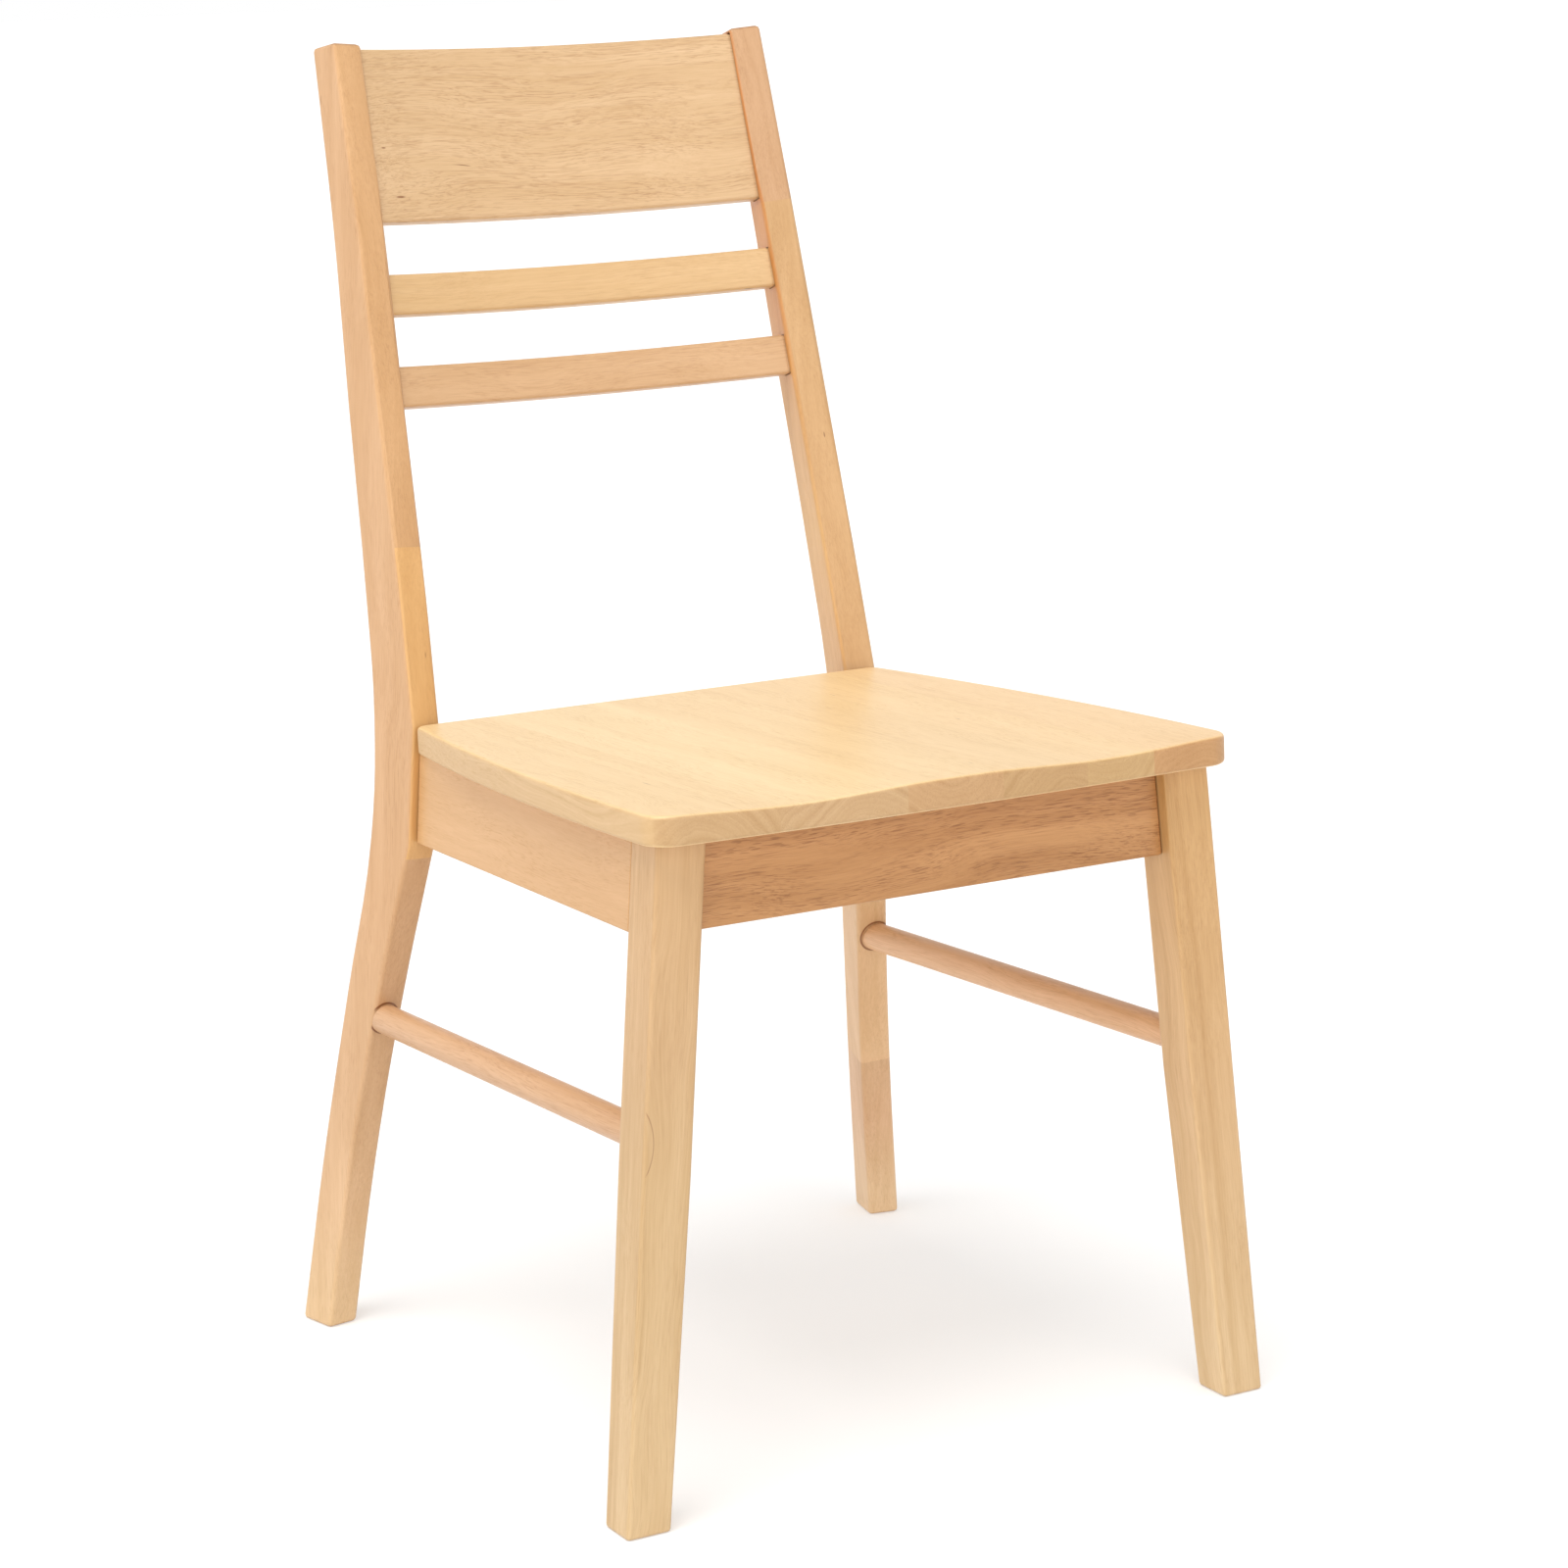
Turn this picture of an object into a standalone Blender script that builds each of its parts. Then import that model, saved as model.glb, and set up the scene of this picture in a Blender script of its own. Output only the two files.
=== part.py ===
"""Dining chair: plank seat on a dowelled frame, splayed front legs, sawn back posts, three curved slats.

Lengths are metres. -Y is the front, +Z is up, +X is the sitter's left. The floor is Z = 0 and the origin
lies on the floor under the middle of the chair. Left and right pieces mirror each other across X = 0.
"""

import math

import bmesh
import bpy
from mathutils import Matrix, Vector
from mathutils.bvhtree import BVHTree

GAP = 0.0003  # clearance left between pieces that touch

# Seat panel: falls towards the back, rounded in plan, with two shallow hollows in its top
SEAT_FRONT_Y = -0.2717
SEAT_FRONT_HEIGHT = 0.445
SEAT_THICKNESS = 0.019
SEAT_PITCH = 0.0295  # fall for each metre towards the back
SEAT_DEPTH = 0.4015
SEAT_FRONT_HALF_WIDTH = 0.2075
SEAT_BACK_HALF_WIDTH = 0.180
SEAT_FRONT_BOW = 0.0055
SEAT_SIDE_BOW = 0.0076
SEAT_FRONT_CORNER = 0.020
SEAT_BACK_CORNER = 0.010
SEAT_EDGE_RADIUS = 0.0025
HOLLOW_OFFSET = 0.110  # each hollow's middle line from the seat's middle line
HOLLOW_HALF_WIDTH = 0.085
HOLLOW_DEPTH = 0.0028

# Front legs: square, splayed sideways, tapered below the stretchers
LEG_FRONT_Y = -0.2497  # front face at seat height
LEG_FOOT_OUTER_X = 0.2355
LEG_SPLAY = 0.0906  # sideways lean for each metre of height
LEG_FOOT_FORWARD = 0.0055  # how far the foot stands ahead of the leg's top
LEG_WIDTH = 0.0335
LEG_FOOT_WIDTH = 0.0303
LEG_TAPER_HEIGHT = 0.220
LEG_EDGE_RADIUS = 0.0025

# Back posts: sawn from flat stock, turned so that their front faces look a little inwards
POST_FOOT_X = 0.2207  # middle of the foot's front face
POST_FOOT_Y = 0.2014
POST_THICKNESS = 0.0232
POST_TURN = math.radians(11.4)
POST_LEAN = math.radians(4.9)
POST_EDGE_RADIUS = 0.003
# Length from the foot, front edge and back edge of the sawn outline, measured from the foot's front edge.
# The outline starts below the foot, which is cut level with the floor.
POST_SHIN = (
    (-0.012, 0.0018, 0.0344),
    (0.120, -0.0190, 0.0135),
    (0.240, -0.0462, -0.0103),
)
POST_KNEE = (0.352, -0.0780, -0.0333)
POST_SEAT = (0.433, -0.0792, -0.0337)
POST_BACK = (
    (0.520, -0.0608, -0.0200),
    (0.640, -0.0318, 0.0040),
    (0.760, -0.0032, 0.0268),
)
POST_HEAD = (0.882, 0.0295, 0.0545)
POST_HEAD_DROP = 0.0045  # fall of the top cut towards the back

# Aprons: the rails of the seat frame
APRON_THICKNESS = 0.020
APRON_BOTTOM = 0.3670  # front apron's lower edge
FRONT_APRON_SETBACK = 0.0088  # behind the legs' front faces
SIDE_APRON_BOTTOM = 0.3655  # lower edge at the front leg
SIDE_APRON_FALL = 0.036  # fall of the lower edge for each metre towards the back
SIDE_APRON_LEG_INSET = 0.001
SIDE_APRON_POST_INSET = 0.006
BACK_APRON_BOTTOM = 0.3560
BACK_APRON_SETBACK = 0.001  # behind the posts' front faces
BACK_APRON_RISE = 0.006  # above the seat's underside, to close the seam behind the seat's back edge
APRON_EDGE_RADIUS = 0.0015

# Back slats: bent in plan, hollow side to the front, housed at full section in the posts
SLAT_RADIUS = 0.78
SLAT_RAKE = math.radians(14.4)
SLAT_THICKNESS = 0.014
SLAT_HOUSING = 0.012
SLAT_EDGE_RADIUS = 0.0025
SLAT_STEPS = 14
CREST_HEIGHT = 0.1185
CREST_MIDDLE = 0.8172
CREST_SETBACK = 0.0034
LOW_SLAT_HEIGHT = 0.0278
MIDDLE_SLAT_MIDDLE = 0.7125
LOWER_SLAT_MIDDLE = 0.6519
LOW_SLAT_SETBACK = 0.0040

# Side stretchers: round rails with turned tenons, their shoulders cut to the faces of leg and post
STRETCHER_RADIUS = 0.0102
STRETCHER_FRONT_HEIGHT = 0.2390
STRETCHER_BACK_HEIGHT = 0.2261
STRETCHER_FRONT_INSET = 0.0013  # inwards from the leg's middle
STRETCHER_BACK_OUTSET = 0.0024  # outwards from the post's middle
STRETCHER_EDGE = 0.0008  # chamfer round each shoulder
TENON_RADIUS = 0.0062
TENON_LENGTH = 0.014
TENON_CHAMFER = 0.0008

# Dowels in the apron joints, two to a joint
DOWEL_RADIUS = 0.004
DOWEL_SPACING = 0.038
BACK_DOWEL_SPACING = 0.016  # closer, to pass between the side dowels inside the posts
DOWEL_IN_APRON = 0.015
DOWEL_IN_LEG = 0.014
DOWEL_IN_POST = 0.012
DOWEL_POST_INSET = 0.013  # side dowels from the post's outer face
DOWEL_CHAMFER = 0.0008

# Corner blocks and the screws that hold them and the seat
BLOCK_HEIGHT = 0.025
BLOCK_REACH = 0.050
BLOCK_CORNER_CLEARANCE = 0.006
BLOCK_EDGE_RADIUS = 0.001
SCREW_RADIUS = 0.002
SCREW_HEAD_RADIUS = 0.004
SCREW_HEAD_HEIGHT = 0.0025
SCREW_POINT = 0.004
BLOCK_SCREW_UNDER_HEAD = 0.013
BLOCK_SCREW_IN_APRON = 0.013
BLOCK_SCREW_STAGGER = 0.006
BLOCK_SCREW_INSET = 0.018
SEAT_SCREW_INSET = 0.013
SEAT_SCREW_IN_SEAT = 0.012
SCREW_SINK = 0.0005  # heads lie this far below the wood

ROUND_STEPS = 16
STRETCHER_STEPS = 28
SIDES = (("left", 1.0), ("right", -1.0))


def empty_scene():
    for old in list(bpy.data.objects):
        bpy.data.objects.remove(old, do_unlink=True)


def new_collection(name):
    group = bpy.data.collections.new(name)
    bpy.context.scene.collection.children.link(group)
    return group


def new_material(name, colour, roughness, metallic=0.0):
    material = bpy.data.materials.new(name)
    material.use_nodes = True
    shader = material.node_tree.nodes["Principled BSDF"]
    shader.inputs["Base Color"].default_value = (*colour, 1.0)
    shader.inputs["Roughness"].default_value = roughness
    shader.inputs["Metallic"].default_value = metallic
    material.diffuse_color = (*colour, 1.0)
    return material


def pale_wood(name):
    return new_material(name, (0.80, 0.58, 0.36), 0.45)


def cream_wood(name):
    return new_material(name, (0.86, 0.66, 0.42), 0.40)


def red_wood(name):
    return new_material(name, (0.66, 0.41, 0.22), 0.45)


def plain_wood(name):
    return new_material(name, (0.74, 0.56, 0.38), 0.60)


def steel(name):
    return new_material(name, (0.62, 0.62, 0.60), 0.35, 1.0)


def new_piece(name, mesh, material):
    mesh.materials.clear()
    mesh.materials.append(material)
    piece = bpy.data.objects.new(name, mesh)
    chair.objects.link(piece)
    return piece


def mesh_of(shape, name):
    """A mesh holding the bmesh's faces, all facing outwards."""
    bmesh.ops.recalc_face_normals(shape, faces=shape.faces)
    mesh = bpy.data.meshes.new(name)
    shape.to_mesh(mesh)
    shape.free()
    return mesh


def ease_edges(piece, radius, steps=2):
    bevel = piece.modifiers.new("eased_edges", "BEVEL")
    bevel.width = radius
    bevel.segments = steps
    bevel.limit_method = "ANGLE"
    bevel.angle_limit = math.radians(35)
    bevel.use_clamp_overlap = True


def shade_round(mesh):
    mesh.shade_smooth()
    mesh.set_sharp_from_angle(angle=math.radians(35))


def cut(piece, cutter):
    """Takes the cutter mesh's solids out of the piece."""
    tool = bpy.data.objects.new(piece.name + "_" + cutter.name, cutter)
    tool.hide_render = True
    tool.display_type = "WIRE"
    cutters.objects.link(tool)
    boolean = piece.modifiers.new(cutter.name, "BOOLEAN")
    boolean.operation = "DIFFERENCE"
    boolean.solver = "EXACT"
    boolean.object = tool


def add_cylinder(shape, start, end, radius, steps=ROUND_STEPS):
    along = end - start
    turn = along.to_track_quat("Z", "Y").to_matrix().to_4x4()
    place = Matrix.Translation((start + end) / 2) @ turn
    bmesh.ops.create_cone(
        shape,
        cap_ends=True,
        segments=steps,
        radius1=radius,
        radius2=radius,
        depth=along.length,
        matrix=place,
    )


def loft(name, sections):
    """A solid through four-cornered sections, each listed the same way round."""
    shape = bmesh.new()
    rings = [[shape.verts.new(corner) for corner in section] for section in sections]
    shape.faces.new(rings[0])
    shape.faces.new(rings[-1])
    for low, high in zip(rings, rings[1:]):
        for i in range(4):
            j = (i + 1) % 4
            shape.faces.new((low[i], low[j], high[j], high[i]))
    return mesh_of(shape, name)


def solid_from_curve(curve, name):
    """The filled, extruded curve as a welded mesh with whole end faces."""
    holder = bpy.data.objects.new(name + "_outline", curve)
    bpy.context.scene.collection.objects.link(holder)
    bpy.context.view_layer.update()
    depsgraph = bpy.context.evaluated_depsgraph_get()
    raw = bpy.data.meshes.new_from_object(holder.evaluated_get(depsgraph))
    bpy.data.objects.remove(holder, do_unlink=True)
    shape = bmesh.new()
    shape.from_mesh(raw)
    bpy.data.meshes.remove(raw)
    bmesh.ops.remove_doubles(shape, verts=shape.verts, dist=0.00005)
    flat = math.radians(0.5)
    bmesh.ops.dissolve_limit(shape, angle_limit=flat, verts=shape.verts, edges=shape.edges)
    return shape


def flat_curve(name, half_depth):
    curve = bpy.data.curves.new(name, "CURVE")
    curve.dimensions = "2D"
    curve.fill_mode = "BOTH"
    curve.extrude = half_depth
    return curve


def outline_solid(name, points, half_depth):
    """A closed straight-sided outline in XY, extruded to both sides of Z = 0."""
    curve = flat_curve(name, half_depth)
    spline = curve.splines.new("POLY")
    spline.points.add(len(points) - 1)
    for point, place in zip(spline.points, points):
        point.co = (place[0], place[1], 0.0, 1.0)
    spline.use_cyclic_u = True
    return solid_from_curve(curve, name)


def trim(shape, point, normal):
    """Cuts away what lies beyond the plane and closes the cut."""
    geometry = list(shape.verts) + list(shape.edges) + list(shape.faces)
    made = bmesh.ops.bisect_plane(
        shape,
        geom=geometry,
        plane_co=point,
        plane_no=normal,
        clear_outer=True,
    )
    rim = [item for item in made["geom_cut"] if isinstance(item, bmesh.types.BMEdge)]
    bmesh.ops.contextual_create(shape, geom=rim)


# Seat panel


def under_seat(y):
    """Height of the seat's underside."""
    return SEAT_FRONT_HEIGHT - SEAT_THICKNESS - SEAT_PITCH * (y - SEAT_FRONT_Y)


def corner_arc(centre, radius, start, end, steps):
    turn = [start + (end - start) * i / steps for i in range(steps + 1)]
    return [(centre[0] + radius * math.cos(a), centre[1] + radius * math.sin(a)) for a in turn]


def seat_outline():
    """Plan outline of the seat, its front edge's middle at the origin."""
    quarter = math.pi / 2
    back_corner = (SEAT_BACK_HALF_WIDTH - SEAT_BACK_CORNER, SEAT_DEPTH - SEAT_BACK_CORNER)
    front_corner = (SEAT_FRONT_HALF_WIDTH - SEAT_FRONT_CORNER, SEAT_FRONT_BOW + SEAT_FRONT_CORNER)
    front = corner_arc(front_corner, SEAT_FRONT_CORNER, -quarter, 0.0, 8)
    back = corner_arc(back_corner, SEAT_BACK_CORNER, 0.0, quarter, 5)
    side = []
    for i in range(1, 8):
        along = i / 8
        chord = SEAT_FRONT_HALF_WIDTH + (SEAT_BACK_HALF_WIDTH - SEAT_FRONT_HALF_WIDTH) * along
        bow = SEAT_SIDE_BOW * 4 * along * (1 - along)
        side.append((chord + bow, front_corner[1] + (back_corner[1] - front_corner[1]) * along))
    edge = []
    for i in range(1, 6):
        along = i / 6
        edge.append((front_corner[0] * along, SEAT_FRONT_BOW * along**2))
    half = [*edge, *front, *side, *back]
    other = [(-x, y) for x, y in reversed(half)]
    return [(0.0, 0.0), *half, *other]


def hollow_cutter():
    """Two long shallow arcs that scoop the seat's top from front to back."""
    drop = HOLLOW_DEPTH
    radius = (HOLLOW_HALF_WIDTH**2 + drop**2) / (2 * drop)
    reach = math.asin(HOLLOW_HALF_WIDTH / radius)
    steps = 10
    arc = []
    for i in range(steps + 1):
        turn = -reach + 2 * reach * i / steps
        arc.append((radius * math.sin(turn), radius * (1 - math.cos(turn)) - drop))
    lid = [(HOLLOW_HALF_WIDTH, SEAT_THICKNESS), (-HOLLOW_HALF_WIDTH, SEAT_THICKNESS)]
    whole = bmesh.new()
    for side in (1.0, -1.0):
        shape = outline_solid("hollow", [*arc, *lid], SEAT_DEPTH)
        stand = Matrix.Rotation(math.pi / 2, 4, "X")
        place = Matrix.Translation((side * HOLLOW_OFFSET, SEAT_DEPTH / 2, 0.0))
        fade = Matrix.Rotation(math.atan(HOLLOW_DEPTH / SEAT_DEPTH), 4, "X")
        bmesh.ops.transform(shape, matrix=fade @ place @ stand, verts=shape.verts)
        part = bpy.data.meshes.new("hollow")
        shape.to_mesh(part)
        shape.free()
        whole.from_mesh(part)
        bpy.data.meshes.remove(part)
    return mesh_of(whole, "hollows")


def build_seat():
    shape = outline_solid("seat", seat_outline(), SEAT_THICKNESS / 2)
    bmesh.ops.translate(shape, verts=shape.verts, vec=(0.0, 0.0, -SEAT_THICKNESS / 2))
    seat = new_piece("seat_panel", mesh_of(shape, "seat_panel"), cream_wood("seat_wood"))
    seat.location = (0.0, SEAT_FRONT_Y, SEAT_FRONT_HEIGHT)
    seat.rotation_euler = (-math.atan(SEAT_PITCH), 0.0, 0.0)
    hollows = hollow_cutter()
    hollows.transform(seat.matrix_basis)
    cut(seat, hollows)
    ease_edges(seat, SEAT_EDGE_RADIUS)
    return seat


# Front legs


def leg_outer_x(z):
    return LEG_FOOT_OUTER_X - LEG_SPLAY * z


def leg_taper(z):
    """Loss of section below the taper's start."""
    return (LEG_WIDTH - LEG_FOOT_WIDTH) * max(0.0, 1 - z / LEG_TAPER_HEIGHT)


def leg_inner_x(z):
    return leg_outer_x(z) - LEG_WIDTH + leg_taper(z)


def leg_front_y(z):
    return LEG_FRONT_Y - LEG_FOOT_FORWARD * (1 - z / SEAT_FRONT_HEIGHT)


def leg_back_y(z):
    return leg_front_y(z) + LEG_WIDTH - leg_taper(z)


def leg_section(side, front_z, back_z):
    return [
        Vector((side * leg_outer_x(front_z), leg_front_y(front_z), front_z)),
        Vector((side * leg_inner_x(front_z), leg_front_y(front_z), front_z)),
        Vector((side * leg_inner_x(back_z), leg_back_y(back_z), back_z)),
        Vector((side * leg_outer_x(back_z), leg_back_y(back_z), back_z)),
    ]


def build_front_leg(label, side):
    top_front = under_seat(LEG_FRONT_Y) - GAP
    top_back = under_seat(LEG_FRONT_Y + LEG_WIDTH) - GAP
    sections = [
        leg_section(side, 0.0, 0.0),
        leg_section(side, LEG_TAPER_HEIGHT, LEG_TAPER_HEIGHT),
        leg_section(side, top_front, top_back),
    ]
    mesh = loft("front_leg_" + label, sections)
    leg = new_piece("front_leg_" + label, mesh, pale_wood("leg_wood_" + label))
    ease_edges(leg, LEG_EDGE_RADIUS)
    return leg


# Back posts


def post_frame(side):
    """Local X is the post's thickness, local Y its depth and local Z its length."""
    turn = Matrix.Rotation(-side * POST_TURN, 4, "Z")
    lean = Matrix.Rotation(-side * POST_LEAN, 4, "Y")
    return Matrix.Translation((side * POST_FOOT_X, POST_FOOT_Y, 0.0)) @ turn @ lean


def post_rows():
    return [*POST_SHIN, POST_KNEE, POST_SEAT, *POST_BACK, POST_HEAD]


def set_handles(point, is_straight):
    """Straight along the joint between knee and seat, smooth elsewhere."""
    kind = "VECTOR" if is_straight else "AUTO"
    point.handle_left_type = kind
    point.handle_right_type = kind


def edge_spline_points(rows):
    """Corner points of the sawn outline, up the front edge and down the back edge."""
    front = [(row[1], row[0]) for row in rows]
    back = [(row[2], row[0]) for row in reversed(rows)]
    back[0] = (back[0][0], back[0][1] - POST_HEAD_DROP)
    return front, back


def post_shape():
    curve = flat_curve("post", POST_THICKNESS / 2)
    curve.resolution_u = 5
    front, back = edge_spline_points(post_rows())
    points = [*front, *back]
    ends = (0, len(front) - 1, len(front), len(points) - 1)
    heights = (POST_KNEE[0], POST_SEAT[0])
    spline = curve.splines.new("BEZIER")
    spline.bezier_points.add(len(points) - 1)
    for i, (point, place) in enumerate(zip(spline.bezier_points, points)):
        point.co = (place[0], place[1], 0.0)
        set_handles(point, i in ends or (i < len(front) and place[1] in heights))
    spline.use_cyclic_u = True
    return solid_from_curve(curve, "post")


def build_post(label, side):
    shape = post_shape()
    stand = Matrix(((0, 0, 1, 0), (1, 0, 0, 0), (0, 1, 0, 0), (0, 0, 0, 1)))
    place = post_frame(side)
    bmesh.ops.transform(shape, matrix=stand, verts=shape.verts)
    floor = place.inverted() @ Vector((0.0, 0.0, 0.0))
    down = place.to_3x3().inverted() @ Vector((0.0, 0.0, -1.0))
    trim(shape, floor, down)
    name = "back_post_" + label
    post = new_piece(name, mesh_of(shape, name), pale_wood("post_wood_" + label))
    post.matrix_world = place
    ease_edges(post, POST_EDGE_RADIUS)
    return post


def row_value(column, along):
    """The sawn outline's front or back edge at a length, read straight between the listed rows."""
    rows = post_rows()
    for low, high in zip(rows, rows[1:]):
        if along <= high[0]:
            share = (along - low[0]) / (high[0] - low[0])
            return low[column] + (high[column] - low[column]) * share
    return rows[-1][column]


def post_point(side, across, into, height):
    """A point of the post: across from its middle plane outwards, and into it from its front edge."""
    along = height / math.cos(POST_LEAN)
    local = Vector((side * across, row_value(1, along) + into, along))
    return post_frame(side) @ local


def post_axis(side, local):
    return (post_frame(side).to_3x3() @ Vector((side * local[0], local[1], local[2]))).normalized()


def on_plane(point, normal, x=None, y=None, z=None):
    """The missing coordinate's point on a plane, from the two that are given."""
    offset = normal.dot(point)
    if y is None:
        return Vector((x, (offset - normal.x * x - normal.z * z) / normal.y, z))
    return Vector(((offset - normal.y * y - normal.z * z) / normal.x, y, z))


# Aprons


def side_outer_x(y, z):
    """Outer face of the left side apron."""
    front_y = leg_back_y(z)
    back = post_point(1.0, POST_THICKNESS / 2, 0.0, z)
    front_x = leg_outer_x(z) - SIDE_APRON_LEG_INSET
    back_x = back.x - SIDE_APRON_POST_INSET
    share = (y - front_y) / (back.y - front_y)
    return front_x + (back_x - front_x) * share


def side_bottom(y):
    return SIDE_APRON_BOTTOM - SIDE_APRON_FALL * (y - LEG_FRONT_Y - LEG_WIDTH)


def side_apron_corner(side, is_front, is_inner, is_top):
    """One corner of a side apron, its end lying on the leg's back face or the post's front face."""
    y = LEG_FRONT_Y + LEG_WIDTH if is_front else post_point(1.0, 0.0, 0.0, POST_SEAT[0]).y
    point = post_point(1.0, 0.0, 0.0, POST_SEAT[0])
    normal = post_axis(1.0, (0.0, 1.0, 0.0))
    for _ in range(4):
        z = under_seat(y) - GAP if is_top else side_bottom(y)
        x = side_outer_x(y, z) - (APRON_THICKNESS if is_inner else 0.0)
        y = leg_back_y(z) + GAP if is_front else on_plane(point, normal, x=x, z=z).y - GAP
    return Vector((side * x, y, z))


def build_side_apron(label, side):
    sections = []
    for is_front in (True, False):
        sections.append(
            [
                side_apron_corner(side, is_front, False, False),
                side_apron_corner(side, is_front, True, False),
                side_apron_corner(side, is_front, True, True),
                side_apron_corner(side, is_front, False, True),
            ]
        )
    name = "side_apron_" + label
    apron = new_piece(name, loft(name, sections), pale_wood("apron_wood_" + label))
    ease_edges(apron, APRON_EDGE_RADIUS)
    return apron


def front_apron_y():
    return LEG_FRONT_Y + FRONT_APRON_SETBACK


def front_apron_section(side):
    corners = []
    for y, is_top in (
        (front_apron_y(), False),
        (front_apron_y() + APRON_THICKNESS, False),
        (front_apron_y() + APRON_THICKNESS, True),
        (front_apron_y(), True),
    ):
        z = under_seat(y) - GAP if is_top else APRON_BOTTOM
        corners.append(Vector((side * (leg_inner_x(z) - GAP), y, z)))
    return corners


def build_front_apron():
    mesh = loft("front_apron", [front_apron_section(-1.0), front_apron_section(1.0)])
    apron = new_piece("front_apron", mesh, red_wood("front_apron_wood"))
    ease_edges(apron, APRON_EDGE_RADIUS)
    return apron


def back_apron_y():
    return post_point(1.0, -POST_THICKNESS / 2, 0.0, POST_SEAT[0]).y + BACK_APRON_SETBACK


def back_apron_section(side):
    point = post_point(side, -POST_THICKNESS / 2 - GAP, 0.0, POST_SEAT[0])
    normal = post_axis(side, (1.0, 0.0, 0.0))
    corners = []
    for y, is_top in (
        (back_apron_y(), False),
        (back_apron_y() + APRON_THICKNESS, False),
        (back_apron_y() + APRON_THICKNESS, True),
        (back_apron_y(), True),
    ):
        z = under_seat(y) + BACK_APRON_RISE if is_top else BACK_APRON_BOTTOM
        corners.append(on_plane(point, normal, y=y, z=z))
    return corners


def build_back_apron():
    mesh = loft("back_apron", [back_apron_section(-1.0), back_apron_section(1.0)])
    apron = new_piece("back_apron", mesh, pale_wood("back_apron_wood"))
    ease_edges(apron, APRON_EDGE_RADIUS)
    return apron


# Back slats


def slat_frame(middle, setback):
    """On the middle plane, level with the slat's front face where it meets the posts."""
    meet = post_point(1.0, -POST_THICKNESS / 2, setback, middle)
    return Matrix.Translation((0.0, meet.y, middle)) @ Matrix.Rotation(-SLAT_RAKE, 4, "X")


def slat_shape(middle, setback, height, grow, housing):
    """A bent slat, grown on every side, its ends cut parallel to the posts' inner faces."""
    place = slat_frame(middle, setback)
    half_span = post_point(1.0, -POST_THICKNESS / 2, setback, middle).x
    reach = half_span + POST_THICKNESS
    chord_y = math.sqrt(SLAT_RADIUS**2 - half_span**2)
    front = []
    back = []
    for i in range(SLAT_STEPS + 1):
        x = -reach + 2 * reach * i / SLAT_STEPS
        near = SLAT_RADIUS - grow
        far = SLAT_RADIUS + SLAT_THICKNESS + grow
        front.append((x, math.sqrt(near**2 - x**2) - chord_y))
        back.append((x, math.sqrt(far**2 - x**2) - chord_y))
    shape = outline_solid("slat", [*front, *reversed(back)], height / 2 + grow)
    bmesh.ops.transform(shape, matrix=place, verts=shape.verts)
    for _, side in SIDES:
        outward = post_axis(side, (1.0, 0.0, 0.0))
        trim(shape, post_point(side, -POST_THICKNESS / 2 + housing, 0.0, middle), outward)
    return shape


def build_slat(name, middle, setback, height, posts):
    solid = slat_shape(middle, setback, height, 0.0, SLAT_HOUSING - GAP)
    slat = new_piece(name, mesh_of(solid, name), pale_wood(name + "_wood"))
    ease_edges(slat, SLAT_EDGE_RADIUS)
    for post in posts:
        mortise = mesh_of(slat_shape(middle, setback, height, GAP, SLAT_HOUSING), name + "_mortise")
        cut(post, mortise)
    return slat


# Side stretchers


def stretcher_line(side):
    """Points of a stretcher's axis at its leg and at its post."""
    z = STRETCHER_FRONT_HEIGHT
    front_x = (leg_outer_x(z) + leg_inner_x(z)) / 2 - STRETCHER_FRONT_INSET
    front = Vector((side * front_x, leg_back_y(z), z))
    return front, post_point(side, STRETCHER_BACK_OUTSET, 0.0, STRETCHER_BACK_HEIGHT)


def meeting_face(piece, start, direction):
    """Where a line from the start meets a piece, and that face's outward normal."""
    corners = [piece.matrix_world @ vert.co for vert in piece.data.vertices]
    tree = BVHTree.FromPolygons(corners, [tuple(face.vertices) for face in piece.data.polygons])
    point, normal, _, _ = tree.ray_cast(start, direction)
    return point, normal


def ring(shape, point, along, radius, normal):
    """Corners round an axis at a radius, all on the plane through the point."""
    across = along.orthogonal().normalized()
    rise = along.cross(across)
    corners = []
    for i in range(STRETCHER_STEPS):
        turn = math.tau * i / STRETCHER_STEPS
        spoke = (across * math.cos(turn) + rise * math.sin(turn)) * radius
        slide = spoke.dot(normal) / along.dot(normal)
        corners.append(shape.verts.new(point + spoke - along * slide))
    return corners


def stretcher_end(shape, point, normal, along, out):
    """Rings from the tenon's tip to the start of the full section, for the end that points outwards."""
    shoulder = point - out * (GAP / abs(out.dot(normal)))
    tip = point + out * (TENON_LENGTH - GAP)
    return [
        ring(shape, tip, along, TENON_RADIUS - TENON_CHAMFER, along),
        ring(shape, tip - out * TENON_CHAMFER, along, TENON_RADIUS, along),
        ring(shape, shoulder, along, TENON_RADIUS, normal),
        ring(shape, shoulder, along, STRETCHER_RADIUS - STRETCHER_EDGE, normal),
        ring(shape, shoulder - out * STRETCHER_EDGE, along, STRETCHER_RADIUS, normal),
    ]


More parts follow.
